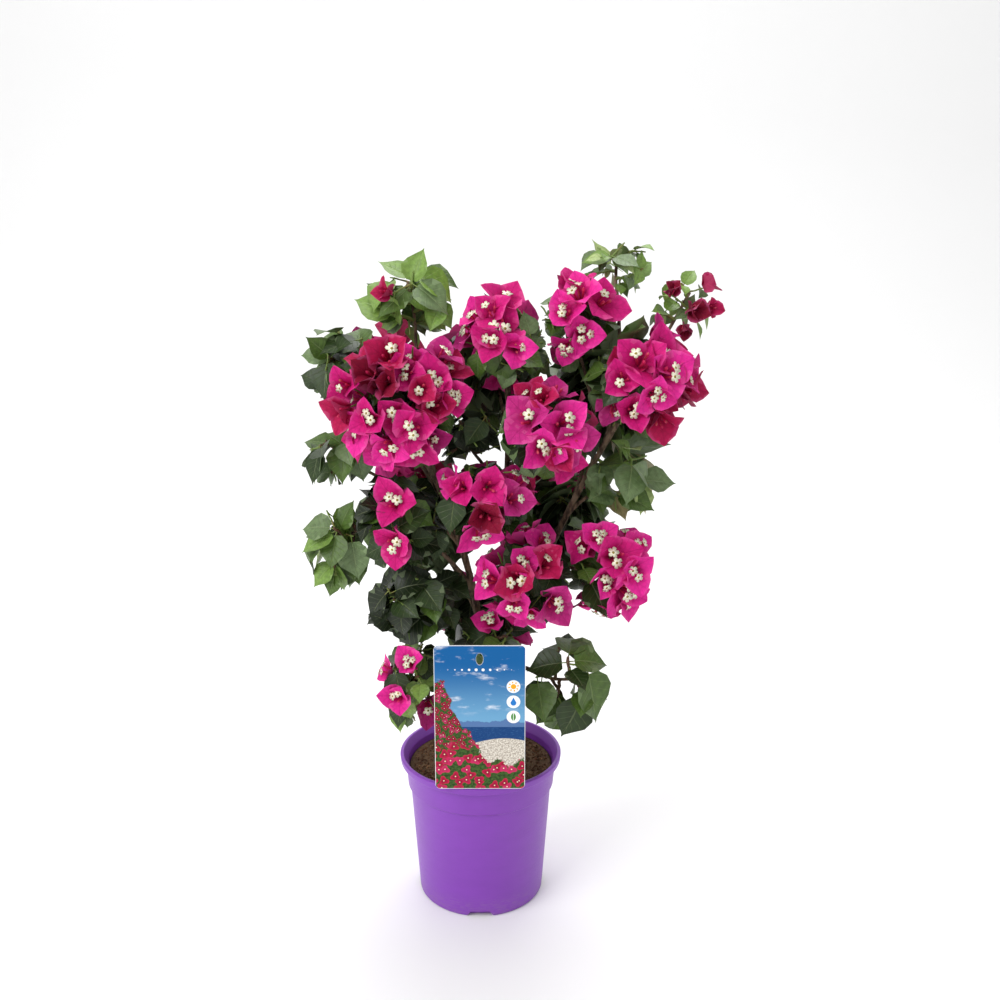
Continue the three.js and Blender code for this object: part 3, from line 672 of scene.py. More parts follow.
def twig_limb(mass, stem, along, direction, spread, space):
    """A straight twig from the stem, as long as its space and the limbs leave room for, or None."""
    centre, reach = mass.ellipsoid()
    full = direction * reach * spread
    for share in (1, 0.85, 0.7, 0.55):
        twig = straight_limb(stem.at(along), centre + full * share, TWIG_BASE, STEM_TIP)
        if space.holds(np.array([twig.at(0.4), twig.at(0.7), twig.at(1)]), 1, TWIG_BASE + CLEARANCE):
            return twig
    return None


@dataclass
class Growth:
    """All that grows in one mass."""

    mass: Mass
    stem: Limb
    crowd: Crowd
    twigs: list = field(default_factory=list)
    side_twigs: list = field(default_factory=list)
    leaves: list = field(default_factory=list)

    def grow_twigs(self, dice, seed):
        """The twigs that the solids have too, those that look out of the crown first."""
        pairs = []
        for along, direction in twig_starts(self.mass, self.stem, seed):
            spread = TWIG_SPREAD + TWIG_VARIATION * (dice() - 0.5)
            twig = twig_limb(self.mass, self.stem, along, direction, spread, self.crowd.space)
            if twig:
                pairs.append((twig, direction))
        front = facing(self.mass)
        pairs.sort(key=lambda pair: -pair[1].dot(front))
        self.twigs = [twig for twig, _ in pairs]
        return [direction for _, direction in pairs]

    def grow_blooms(self, dice, directions):
        """Blooms at the ends of the foremost twigs. Gives the twigs that bear one."""
        front, blooming = facing(self.mass), set()
        for i in range(floor(len(self.twigs) * self.mass.kind.blooming + 0.5)):
            turn = 6 * dice()
            length = self.mass.kind.bloom * (0.88 + 0.24 * dice())
            bloom = Bloom(self.twigs[i].at(1), unit(front + directions[i] * 0.75), turn, length)
            for _ in range(5):
                if self.crowd.takes_bloom(bloom, BLADE_GAP):
                    blooming.add(i)
                    break
                bloom.turn += 0.5
                bloom.length *= 0.93
        return blooming

    def grow_side_twigs(self, dice):
        """Side twigs from the nearest twigs to places spread evenly over the mass, blooms at their ends."""
        mass, kind, front = self.mass, self.mass.kind, facing(self.mass)
        centre, reach = mass.ellipsoid()
        nodes = np.array([twig.at(along) for twig in self.twigs for along in (0.3, 0.5, 0.7, 0.9)])
        count = floor(mass.mean_surface() / kind.surface)
        wanted = round(count * kind.side_blooming)
        for direction in sorted(spread_round(UP, count), key=lambda direction: -direction.dot(front)):
            spread = dice.between(*SIDE_TWIG_REACH)
            for share in SIDE_TWIG_SPREADS:
                end = centre + direction * reach * spread * share
                start = nodes[np.argmin(np.linalg.norm(nodes - end, axis=1))]
                if self.crowd.space.holds(np.array([start * 0.4 + end * 0.6, end]), 1, SIDE_TWIG_RADIUS):
                    break
            else:
                continue
            if wanted > 0:
                astray = np.array([dice.between(-0.45, 0.45) for _ in range(3)])
                root = self.side_bloom(start, end, unit(front * 0.6 + direction * 0.9 + astray), dice)
                wanted -= root is not None
                end = end if root is None else root
            self.side_twigs.append(straight_limb(start, end, SIDE_TWIG_RADIUS, SIDE_TWIG_TIP))

    def side_bloom(self, start, end, axis, dice):
        """Sets a bloom at a side twig's end, or nearer its foot, and gives its place, or None."""
        length = self.mass.kind.bloom * dice.between(0.74, 1.04)
        turn = 6 * dice()
        for along in BLOOM_PLACES:
            for step in range(3):
                root = start + (end - start) * along
                bloom = Bloom(root, axis, turn + 0.7 * step, length * (1 - 0.06 * step))
                if self.crowd.takes_bloom(bloom, FINE_GAP):
                    return bloom.root
        return None

    def try_leaf(self, twig, first, share, turn, length, droop, gap):
        """Sets a leaf at the first place with room along a stretch of a twig. It stands off to one side
        and droops, and faces out of the crown and up. Each place tried is turned on and a little smaller."""
        step = np.arange(TRIES)
        nodes = twig.start + np.outer(first - share * step / TRIES, twig.end - twig.start)
        line = twig.heading(0)
        forwards = unit(line * 0.45 + square_to(line, turn + 0.9 * step) * 0.85 - UP * droop)
        out = (nodes - self.mass.centre) / self.mass.reach * 0.5 + facing(self.mass) * 0.6 + UP * 0.55
        faces = unit(out - forwards * (out * forwards).sum(1)[:, None])
        roots, lengths = nodes - forwards * LEAF_SUNK, length * 0.98**step
        found = self.crowd.first_fit(leaf_samples(roots, forwards, faces, lengths), gap)
        if found is not None:
            slender = self.mass.kind.slender
            self.leaves.append(Leaf(roots[found], forwards[found], faces[found], lengths[found], slender))

    def longest_leaf(self):
        return min(self.mass.kind.leaf, 1.15 * self.mass.mean_reach())

    def grow_leaves(self, dice, blooming):
        """The leaves on the main twigs."""
        for i, twig in enumerate(self.twigs):
            count = floor(self.mass.kind.leaves + dice())
            last = 0.72 if i in blooming else 1
            turn = 6 * dice()
            for k in range(count):
                length = self.longest_leaf() * (0.84 + 0.32 * dice())
                droop = 0.3 + 0.4 * dice()
                first, share = last - 0.5 * k / count, 0.5 / count
                self.try_leaf(twig, first, share, turn + k * GOLDEN_ANGLE, length, droop, BLADE_GAP)

    def grow_side_leaves(self, dice):
        """The leaves on the side twigs, and between the first ones on the main twigs."""
        for twig in [*self.side_twigs, *self.twigs]:
            turn = 6 * dice()
            for k in range(self.mass.kind.side_leaves):
                length = self.longest_leaf() * dice.between(*self.mass.kind.side_leaf)
                droop = dice.between(*self.mass.kind.side_droop)
                first = 0.9 - 0.3 * (k % 3)
                self.try_leaf(twig, first, 0.28, turn + k * GOLDEN_ANGLE, length, droop, FINE_GAP)

    def tint(self, dice):
        """Gives every leaf and bloom its tint."""
        for leaf in self.leaves:
            leaf.tint = dice.pick(self.mass.kind.leaf_tints)
        for bloom in self.crowd.blooms:
            bloom.tint = dice.pick(self.mass.kind.bract_tints)


def grow_mass(mass, limbs, bough, seed):
    """A mass's growth by the solids' rule, carried on to finer twigs."""
    growth = Growth(mass, stem_limb(mass, bough), Crowd(Space(mass, limbs)))
    dice, finer = Dice(seed), Dice(seed + 1)
    directions = growth.grow_twigs(dice, seed)
    blooming = growth.grow_blooms(dice, directions)
    growth.grow_side_twigs(finer)
    growth.grow_leaves(dice, blooming)
    growth.grow_side_leaves(finer)
    growth.tint(Dice(seed + 2))
    return growth


@lru_cache(maxsize=1)
def grown_plant():
    """Every limb, and what grows in every mass."""
    limbs = {"trunk": trunk_limb()}
    for name, mass in MASSES.items():
        limbs[name] = bough_limb(mass, limbs)
    growths = {}
    for i, (name, mass) in enumerate(MASSES.items()):
        growths[name] = grow_mass(mass, limbs, limbs[name], FIRST_SEED + SEED_STEP * i)
    return limbs, growths


def all_leaves():
    return [leaf for growth in grown_plant()[1].values() for leaf in growth.leaves]


def all_blooms():
    return [bloom for growth in grown_plant()[1].values() for bloom in growth.crowd.blooms]


def with_tint(things, tints):
    """Each tint that comes up among the things, with its number and the things that have it."""
    for number, tint in enumerate(tints):
        same = [thing for thing in things if thing.tint == tint]
        if same:
            yield number, tint, same


def gathered(things, name):
    """One value of every thing, as an array."""
    return np.array([getattr(thing, name) for thing in things])


# ---------- meshes from arrays ----------
PATTERN_MAP = "OFBake"  # the UV map that blade patterns follow


def mesh_of(name, points, faces, places=None, rim=None):
    """A mesh of joined shapes. Faces are (count, corners) arrays, places their corners' UVs in the same
    order, and rim marks the points whose common edges are sharp."""
    corners = np.concatenate([face.ravel() for face in faces]).astype(np.int32)
    sizes = np.concatenate([np.full(len(face), face.shape[1]) for face in faces])
    starts = np.concatenate([[0], np.cumsum(sizes)[:-1]]).astype(np.int32)
    mesh = bpy.data.meshes.new(name)
    mesh.vertices.add(len(points))
    mesh.vertices.foreach_set("co", np.asarray(points, np.float32).ravel())
    mesh.loops.add(len(corners))
    mesh.loops.foreach_set("vertex_index", corners)
    mesh.polygons.add(len(sizes))
    mesh.polygons.foreach_set("loop_start", starts)
    mesh.update(calc_edges=True)
    mesh.polygons.foreach_set("use_smooth", np.ones(len(sizes), bool))
    if places is not None:
        layer = mesh.uv_layers.new(name=PATTERN_MAP)
        layer.uv.foreach_set("vector", np.asarray(places, np.float32).ravel())
    if rim is not None:
        ends = np.zeros(2 * len(mesh.edges), np.int32)
        mesh.edges.foreach_get("vertices", ends)
        sharp = rim[ends].reshape(-1, 2).all(1)
        mesh.attributes.new("sharp_edge", "BOOLEAN", "EDGE").data.foreach_set("value", sharp)
    return mesh


def flat_mesh(name, points, faces):
    """A mesh of flat faces, from lists."""
    mesh = bpy.data.meshes.new(name)
    mesh.from_pydata(points, [], faces)
    return mesh


def prism(name, near, far):
    """A closed solid between two outlines that have as many corners."""
    size = len(near)
    faces = [tuple(range(size))[::-1], tuple(range(size, 2 * size))]
    faces += [(k, (k + 1) % size, size + (k + 1) % size, size + k) for k in range(size)]
    return flat_mesh(name, [*near, *far], faces)


def skin(rings, sides):
    """Faces between rings of points, and fans to the two points after them that close the first and
    the last ring."""
    spot = np.arange(sides)
    following = (spot + 1) % sides
    starts = np.arange(rings - 1)[:, None] * sides
    here, ahead = starts + spot, starts + following
    quads = np.stack([here, ahead, ahead + sides, here + sides], 2).reshape(-1, 4)
    last, foot = (rings - 1) * sides, np.full(sides, rings * sides)
    fans = [np.stack([following, spot, foot], 1), np.stack([last + spot, last + following, foot + 1], 1)]
    return [quads, np.concatenate(fans)]


def linked(name, data):
    """A new object in the scene."""
    made = bpy.data.objects.new(name, data)
    bpy.context.scene.collection.objects.link(made)
    return made


def as_modified(source):
    """The plain mesh that an object's modifiers make."""
    bpy.context.view_layer.update()
    depsgraph = bpy.context.evaluated_depsgraph_get()
    return bpy.data.meshes.new_from_object(source.evaluated_get(depsgraph), depsgraph=depsgraph)


def piece_of(mesh, *materials):
    """A finished piece from a mesh whose points are already in their places."""
    for material in materials:
        mesh.materials.append(material)
    return linked(mesh.name, mesh)


def dress(piece, slot, *nodes):
    """Makes a piece ride on the plant and stand for the solids' nodes, which it hides. The slot is not used.
    """
    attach(piece, "root")
    if nodes:
        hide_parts(*nodes)
    return piece


def stamped(points, faces, origins, axes, sizes):
    """Copies of a small shape, one at every origin, turned to its three axes and scaled, as arrays."""
    turned = np.einsum("pk,nkc->npc", points, axes) * np.asarray(sizes)[:, None, None]
    placed = (turned + np.asarray(origins)[:, None]).reshape(-1, 3)
    shifts = np.arange(len(origins)) * len(points)
    return placed, [(face[None] + shifts[:, None, None]).reshape(-1, face.shape[1]) for face in faces]


# ---------- blades ----------
BLADE_STATIONS = (0.05, 0.18, 0.36, 0.56, 0.76, 0.91)
# One ring of points round a blade, its edge points on both sides, and the rings' upper and under points.
RING_ACROSS = (-1, -0.5, -0.5, 0, 0, 0.5, 0.5, 1)
RING_LIFT = (0, 1, -1, 1, -1, 1, -1, 0)
UPPER_SIDE, UNDER_SIDE = (0, 1, 3, 5, 7), (0, 2, 4, 6, 7)
# The pattern's map has the upper side in one half and the underside in the other.
HALF_MIDDLES, HALF_REACH, MAP_MARGIN = (0.25, 0.75), 0.23, 0.02


class BladeGrid:
    """The points of a thin closed blade: along it, across it and off it, with its faces and pattern."""

    def __init__(self):
        rings = len(BLADE_STATIONS)
        self.along = np.array([0, 1, *np.repeat(BLADE_STATIONS, len(RING_ACROSS))])
        self.across = np.array([0, 0, *RING_ACROSS * rings])
        self.lift = np.array([0, 0, *RING_LIFT * rings])
        self.rim = self.lift == 0
        quads, fans = [], []
        for side in (UPPER_SIDE, UNDER_SIDE):
            rows = [[2 + len(RING_ACROSS) * ring + spot for spot in side] for ring in range(rings)]
            order = 1 if side is UPPER_SIDE else -1
            for row, following in zip(rows, rows[1:]):
                for k in range(len(side) - 1):
                    quads.append([row[k], following[k], following[k + 1], row[k + 1]][::order])
            for k in range(len(side) - 1):
                fans.append([0, rows[0][k], rows[0][k + 1]][::order])
                fans.append([1, rows[-1][k + 1], rows[-1][k]][::order])
        self.faces = [np.array(quads), np.array(fans)]

    def places(self, faces):
        """The places on the pattern of the corners of faces, those of the upper side first."""
        middles = np.repeat(HALF_MIDDLES, len(faces) // 2)[:, None]
        u = middles + HALF_REACH * self.across[faces]
        v = MAP_MARGIN + (1 - 2 * MAP_MARGIN) * self.along[faces]
        return np.stack([u, v], -1).reshape(-1, 2)

    def mesh(self, name, points):
        """The mesh of many blades whose points are given, (blade, point, 3)."""
        count, size = points.shape[:2]
        shifts = (np.arange(count) * size)[:, None, None]
        joined = [(faces[None] + shifts).reshape(-1, faces.shape[1]) for faces in self.faces]
        places = np.concatenate([np.tile(self.places(faces), (count, 1)) for faces in self.faces])
        return mesh_of(name, points.reshape(-1, 3), joined, places, np.tile(self.rim, count))


@dataclass
class BladeShape:
    """How the blades of one kind differ from a flat outline; arrays hold one value for each blade."""

    width: np.ndarray  # of the length
    thickness: float
    outline: object  # half width at each place along, of the widest
    lobes: float  # how far the base's lobes reach back, of the length
    curl: np.ndarray
    fold: np.ndarray
    wave: np.ndarray
    phase: np.ndarray
    twist: np.ndarray


def blade_points(grid, roots, forwards, faces, lengths, shape):
    """Where a blade grid's points fall on curled, folded and waved blades, (blade, point, 3)."""
    along, across = grid.along[None], grid.across[None]
    lengths = lengths[:, None]
    curl = np.where(abs(shape.curl) < 1e-3, 1e-3, shape.curl)[:, None]
    bend = curl * along
    half = lengths * shape.width[:, None] / 2 * shape.outline(along)
    ahead = lengths * np.sin(bend) / curl
    ahead = ahead - lengths * shape.lobes * abs(across) ** 1.5 * (1 - along) ** 5
    drop = lengths * (1 - np.cos(bend)) / curl
    fold, wave, phase, twist = (v[:, None] for v in (shape.fold, shape.wave, shape.phase, shape.twist))
    ripple = np.sin(TURN * 1.6 * along + phase + 1.7 * np.sign(across))
    aside = across * half * np.cos(fold)
    lift = abs(across) * half * np.sin(fold) + wave * half * across**2 * ripple
    turn = twist * along
    aside, lift = aside * np.cos(turn) - lift * np.sin(turn), aside * np.sin(turn) + lift * np.cos(turn)
    lift = lift + grid.lift[None] * shape.thickness / 2
    side = np.cross(faces, forwards)[:, None]
    forwards, faces = forwards[:, None], faces[:, None]
    normal = faces * np.cos(bend)[..., None] + forwards * np.sin(bend)[..., None]
    spine = roots[:, None] + forwards * ahead[..., None] - faces * drop[..., None]
    return spine + side * aside[..., None] + normal * lift[..., None]


def leaf_outline(along):
    """Half width of a leaf: a rounded base and a long drawn-out tip."""
    return np.sin(pi * along**0.66) ** (0.9 + 0.7 * along)


def bract_outline(along):
    """Half width of a bract: broad and rounded, with a short point."""
    return np.sin(pi * along**0.8) ** (0.62 + 0.34 * along)


# ---------- shader maths ----------


class Shade:
    """A socket of a node tree as it is built. Arithmetic on it adds Math nodes."""

    def __init__(self, owner, socket):
        self.owner = owner
        self.socket = socket

    def math(self, operation, *values):
        inputs = dict(enumerate((self, *values)))
        return self.owner.node("ShaderNodeMath", {"operation": operation}, inputs)

    def __add__(self, other):
        return self.math("ADD", other)

    __radd__ = __add__

    def __sub__(self, other):
        return self.math("SUBTRACT", other)

    def __rsub__(self, other):
        return self.math("MULTIPLY", -1.0) + other

    def __mul__(self, other):
        return self.math("MULTIPLY", other)

    __rmul__ = __mul__

    def __truediv__(self, other):
        return self.math("DIVIDE", other)

    def __pow__(self, other):
        return self.math("POWER", other)

    def fraction(self):
        return self.math("FRACT")

    def size(self):
        return self.math("ABSOLUTE")

    def sine(self):
        return self.math("SINE")

    def most(self, other):
        return self.math("MAXIMUM", other)

    def rise(self, low, high):
        """0 under low, 1 over high, smooth between them."""
        inputs = {0: self, 1: low, 2: high, 3: 0.0, 4: 1.0}
        return self.owner.node("ShaderNodeMapRange", {"interpolation_type": "SMOOTHSTEP"}, inputs)

    def fall(self, low, high):
        """1 under low, 0 over high, smooth between them."""
        return 1 - self.rise(low, high)


class NodeTree:
    """A node tree as it is built. All its nodes come from one method."""

    def node(self, kind, settings=None, inputs=None, output=0):
        """Adds a node, with its settings made first, and gives one of its outputs."""
        made = self.tree.nodes.new(kind)
        for name, value in (settings or {}).items():
            setattr(made, name, value)
        for key, value in (inputs or {}).items():
            if isinstance(value, Shade):
                self.tree.links.new(value.socket, made.inputs[key])
            else:
                made.inputs[key].default_value = value
        return Shade(self, made.outputs[output])


class Finish(NodeTree):
    """A material: one Principled shader and the nodes that feed it. Colours are laid over its first one,
    in patterns on the blades' map or else in the frame."""

    def __init__(self, name, tone, roughness=0.5, specular=0.5, blade=False):
        self.tone = tone
        self.material = bpy.data.materials.new(name)
        self.material.use_nodes = True
        self.tree = self.material.node_tree
        self.shader = self.tree.nodes["Principled BSDF"].inputs
        self.shader["Roughness"].default_value = roughness
        self.shader["Specular IOR Level"].default_value = specular
        if blade:
            self.place = self.node("ShaderNodeUVMap", {"uv_map": PATTERN_MAP})
        else:
            self.place = self.node("ShaderNodeTexCoord", output="Object")

    def parts(self, vector):
        """The x, y and z of a vector."""
        made = self.node("ShaderNodeSeparateXYZ", inputs={0: vector}).socket.node
        return [Shade(self, made.outputs[axis]) for axis in "XYZ"]

    def vector(self, x, y, z=0.0):
        return self.node("ShaderNodeCombineXYZ", inputs={0: x, 1: y, 2: z})

    def noise(self, scale, detail=3.0, roughness=0.55, stretch=None, at=None):
        """Clouds from 0 to 1 over the piece, or over another vector, whose axes may be stretched."""
        vector = at or self.place
        if stretch:
            scaled = {0: vector, 1: stretch}
            vector = self.node("ShaderNodeVectorMath", {"operation": "MULTIPLY"}, scaled)
        inputs = {"Vector": vector, "Scale": scale, "Detail": detail, "Roughness": roughness}
        return self.node("ShaderNodeTexNoise", inputs=inputs)

    def mix(self, factor, first, second):
        """A colour between two colours."""
        inputs = {0: factor, 6: solid(first), 7: solid(second)}
        return self.node("ShaderNodeMix", {"data_type": "RGBA"}, inputs, output=2)

    def feed(self, socket, shade):
        self.tree.links.new(shade.socket, self.shader[socket])

    def lay(self, factor, colour):
        """Lays a colour over the tone, where and as much as the factor says."""
        self.tone = self.mix(factor, self.tone, colour)

    def roughness(self, shade):
        self.feed("Roughness", shade)

    def bump(self, height, distance, strength=1.0):
        """Raises the surface by a height from 0 to 1, a distance at most."""
        inputs = {"Height": height, "Distance": distance, "Strength": strength}
        self.feed("Normal", self.node("ShaderNodeBump", inputs=inputs))

    def done(self):
        """Feeds the tone to the shader and gives the material."""
        self.feed("Base Color", self.tone)
        return self.material


def solid(colour):
    """A colour as a socket takes it: four values, unless it comes from a node."""
    return colour if isinstance(colour, Shade) else (*tuple(colour)[:3], 1.0)


def shifted(colour, factor):
    """A colour made darker or lighter."""
    return tuple(min(1.0, channel * factor) for channel in tuple(colour)[:3])


def toward(colour, other, share):
    """A colour part of the way to another one."""
    return tuple(a + (b - a) * share for a, b in zip(tuple(colour)[:3], tuple(other)[:3]))


# ---------- finishes ----------


def blade_pattern(look):
    """Across a blade from its midrib, 0 to 1, along it from its base, and 1 on its underside."""
    u, v, _ = look.parts(look.place)
    across = ((u * 2).fraction() - 0.5).size() / (2 * HALF_REACH)
    return across, (v - MAP_MARGIN) / (1 - 2 * MAP_MARGIN), u.math("GREATER_THAN", 0.5)


def vein_lines(across, along, count, lean, width):
    """Side veins that leave the midrib and bend to the tip, 1 on a vein."""
    phase = (along * count - across**0.75 * lean).fraction() - 0.5
    return phase.size().fall(0, width)


def leaf_finish(name, colour):
    """A leathery leaf with a pale midrib, arching side veins and a paler underside."""
    look = Finish(name, shifted(colour, 0.78), specular=0.36, blade=True)
    across, along, under = blade_pattern(look)
    cloud = look.noise(2.2, 4, stretch=(5, 3, 1))
    grain = look.noise(60, 2)
    veins = vein_lines(across, along, 6.5, 1.6, 0.09) * across.fall(0.8, 1) * 0.55
    midrib = across.fall(0, 0.07)
    lines = veins.most(midrib)
    look.lay(cloud.rise(0.32, 0.68), shifted(colour, 1.14))
    look.lay(across.rise(0.55, 1) * 0.35, shifted(colour, 0.66))
    look.lay(veins * 0.3 + midrib * 0.35, toward(shifted(colour, 1.5), paint(196, 208, 150), 0.35))
    look.lay(under * 0.75, toward(shifted(colour, 1.15), paint(150, 168, 128), 0.4))
    look.roughness(0.34 + grain * 0.12 + under * 0.2 + lines * 0.08)
    look.bump(across * 0.6 + cloud * 0.5 - lines * 0.8 + grain * 0.08, 0.0006, 0.7)
    return look.done()


def bract_finish(name, colour):
    """A papery bract: redder at its base and darker there as painted shade in the cup, paler at its edge,
    with a fine net of veins.
    """
    look = Finish(name, colour, specular=0.18, blade=True)
    across, along, under = blade_pattern(look)
    cloud = look.noise(2, 4, stretch=(6, 4, 1))
    grain = look.noise(1, stretch=(90, 24, 1))
    veins = vein_lines(across, along, 7, 2.3, 0.1) * 0.6
    net = vein_lines(across, along, 21, -3, 0.16) * 0.25
    lines = veins.most(across.fall(0, 0.06)).most(net)
    # Redder towards the base as the bract's own colour, and darker there as painted shade inside the cup.
    look.lay(along.fall(0.02, 0.5), toward(colour, paint(140, 2, 44), 0.7))
    look.lay(cloud.rise(0.35, 0.7) * 0.6, shifted(colour, 0.66))
    look.lay(across.rise(0.6, 1) * 0.4, toward(colour, paint(255, 120, 200), 0.5))
    look.lay(lines * 0.42, shifted(toward(colour, paint(120, 0, 60), 0.5), 0.9))
    look.lay(under * 0.35, toward(colour, paint(255, 150, 200), 0.35))
    look.roughness(0.55 + grain * 0.15)
    look.bump(cloud * 0.7 - lines * 0.5 + grain * 0.15, 0.0009, 0.8)
    return look.done()


def star_finish():
    look = Finish("open_floret", settings("blooms").star_colour, specular=0.3)
    look.lay(look.noise(260, 2).rise(0.5, 0.75) * 0.25, paint(236, 190, 170))
    look.bump(look.noise(1800, 2), 0.0002, 0.4)
    return look.done()


def throat_finish():
    colour = settings("blooms").throat_colour
    look = Finish("floret_throat", colour, roughness=0.6)
    look.lay(look.noise(1500, 2).rise(0.4, 0.6), shifted(colour, 0.4))
    return look.done()


def tube_finish():
    """A floret's tube, blotched with a paler tone."""
    look = Finish("floret_tube", settings("blooms").tube_colour, specular=0.3)
    look.lay(look.noise(170).rise(0.5, 0.75) * 0.5, paint(206, 130, 110))
    look.bump(look.noise(900), 0.0003, 0.5)
    return look.done()


def bark_finish():
    """Old bark: cracked along the limb, with corky specks."""
    care = settings("limbs")
    look = Finish("old_bark", care.crevice_colour, specular=0.25)
    ridges = look.noise(260, 6, 0.62, stretch=(1, 1, 0.22))
    specks = look.noise(620, 2)
    look.lay(ridges.rise(0.38, 0.62), care.bark_colour)
    look.lay(look.noise(46, 4).rise(0.48, 0.72) * 0.5, paint(150, 134, 112))
    look.lay(specks.rise(0.66, 0.74) * 0.7, paint(178, 160, 132))
    look.roughness(0.72 + ridges * 0.2)
    look.bump(ridges + specks * 0.2, 0.0012)
    return look.done()


def twig_finish():
    """Ripened twigs: red brown, streaked and dotted with pale pores."""
    colour = settings("limbs").twig_colour
    look = Finish("ripe_twig", shifted(colour, 0.6), specular=0.35)
    streak = look.noise(520, 4, stretch=(1, 1, 0.3))
    look.lay(streak.rise(0.35, 0.65), shifted(colour, 1.3))
    look.lay(look.noise(900, 1).rise(0.68, 0.74), paint(170, 150, 120))
    look.roughness(0.55 + streak * 0.2)
    look.bump(streak, 0.0004, 0.8)
    return look.done()


def shoot_finish():
    """Soft green shoots and leaf stalks, flushed with brown in places."""
    look = Finish("green_shoot", settings("limbs").shoot_colour, specular=0.4)
    hairs = look.noise(1400, 2)
    look.lay(look.noise(55).rise(0.5, 0.72) * 0.6, paint(126, 84, 52))
    look.roughness(0.45 + hairs * 0.2)
    look.bump(hairs, 0.0002, 0.5)
    return look.done()


def pot_finish():
    """Moulded satin plastic: a fine grain, faint flow marks and dust towards the foot."""
    colour = settings("pot").colour
    look = Finish("pot_plastic", shifted(colour, 0.97))
    _, _, height = look.parts(look.place)
    grain = look.noise(1600, 2)
    flow = look.noise(22, stretch=(1, 1, 3))
    scuffs = look.noise(120, 5, 0.7, stretch=(1, 1, 6))
    look.lay(flow.rise(0.3, 0.7), shifted(colour, 1.03))
    look.lay(scuffs.rise(0.66, 0.8) * 0.25, shifted(colour, 1.35))
    look.lay(height.fall(0, 0.03) * scuffs.rise(0.4, 0.7) * 0.35, paint(150, 130, 140))
    look.roughness(0.36 + scuffs.rise(0.5, 0.75) * 0.14 + grain * 0.06)
    look.bump(grain * 0.6 + flow * 0.25, 0.00025, 0.6)
    return look.done()


def soil_finish():
    """Moist peat with pale fibres."""
    colour = settings("pot").soil_colour
    look = Finish("potting_soil", shifted(colour, 0.5), roughness=0.95, specular=0.15)
    crumbs = look.noise(320, 5, 0.65)
    clods = look.noise(70, 4)
    fibres = look.noise(240, stretch=(1, 5, 3))
    look.lay(crumbs.rise(0.35, 0.65), colour)
    look.lay(clods.rise(0.5, 0.7) * 0.5, shifted(colour, 1.5))
    look.lay(fibres.rise(0.68, 0.76) * 0.6, paint(140, 104, 70))
    look.bump(crumbs + clods * 0.5, 0.002)
    return look.done()


def chip_finish():
    """Reddish bark chips, some of them bleached."""
    colour = settings("pot").chip_colour
    look = Finish("bark_chips", shifted(colour, 0.45), roughness=0.85, specular=0.2)
    kinds = look.noise(150, 1)
    grain = look.noise(500, stretch=(1, 4, 1))
    look.lay(kinds.rise(0.42, 0.62), colour)
    look.lay(kinds.rise(0.64, 0.68) * 0.7, paint(160, 128, 92))
    look.lay(grain * 0.4, shifted(colour, 0.5))
    look.bump(grain, 0.0008)
    return look.done()


def card_finish():
    """Coated white card, a little grey along its fibres."""
    look = Finish("label_card", paint(236, 236, 232), roughness=0.4, specular=0.4)
    fibres = look.noise(700, stretch=(1, 1, 0.3))
    look.lay(fibres, paint(250, 250, 248))
    look.bump(fibres, 0.00008, 0.4)
    return look.done()


WHITE = paint(250, 250, 250)
BLUR = 0.0002  # half the soft edge of what is printed


def away_from(x, z):
    """How far a place is from where x and z are 0."""
    return (x * x + z * z) ** 0.5


def disc(x, z, radius):
    """1 inside a round spot about where x and z are 0, 0 outside it."""
    return away_from(x, z).fall(radius - BLUR, radius + BLUR)


def rosettes(look, flat, scale, petal, leaf, turn):
    """Three-petalled blossom over leaves, one to each cell of a scattered pattern."""
    kinds = {"voronoi_dimensions": "2D"}
    cells = look.node("ShaderNodeTexVoronoi", kinds, {"Vector": flat, "Scale": scale}).socket.node
    middle = Shade(look, cells.outputs["Position"])
    offset = look.node("ShaderNodeVectorMath", {"operation": "SUBTRACT"}, {0: flat, 1: middle})
    dx, dz, _ = look.parts(offset)
    seed, other, _ = look.parts(Shade(look, cells.outputs["Color"]))
    away = away_from(dx, dz) * scale
    reach = 0.46 + (dz.math("ARCTAN2", dx) * 3 + seed * 6.3 + turn).sine() * 0.12
    shade = look.mix((away / reach).rise(0.1, 1), shifted(petal, 0.45), petal)
    shade = look.mix(other.rise(0.5, 0.95) * 0.5, shade, toward(petal, paint(255, 90, 170), 0.4))
    shade = look.mix(away.fall(0.04, 0.09), shade, paint(255, 240, 200))
    dapple = look.noise(scale * 4, 4, at=flat).rise(0.35, 0.65)
    return look.mix((away - reach).fall(-0.03, 0.03), look.mix(dapple, shifted(leaf, 0.35), leaf), shade)


def landscape(look, flat, p, q):
    """Sky with clouds over far hills, a lake and a pale beach."""
    care = settings("label")
    x, z, _ = look.parts(flat)
    sky = look.mix(q.rise(0.42, 0.9), care.haze_colour, care.sky_colour)
    clouds = look.noise(34, 5, 0.6, at=look.vector(x, z * 2.6)).rise(0.55, 0.76)
    tone = look.mix(clouds * q.rise(0.5, 0.6) * 0.8, sky, paint(250, 252, 255))
    hills = look.noise(55, at=look.vector(x, 0)) * 0.12
    tone = look.mix((q - 0.42 - hills).fall(-0.003, 0.003), tone, paint(84, 118, 168))
    glints = look.noise(260, at=look.vector(x, z * 9)).rise(0.55, 0.75)
    lake = look.mix(glints * 0.5, paint(10, 62, 120), paint(96, 160, 206))
    tone = look.mix((q - 0.44).fall(-0.002, 0.002), tone, lake)
    near = (q - 0.33 - (p * 5 + 4).sine() * 0.03).fall(-0.003, 0.003)
    pebbles = look.noise(640, at=flat).rise(0.35, 0.65)
    return look.mix(near, tone, look.mix(pebbles, paint(168, 156, 142), paint(232, 226, 214)))


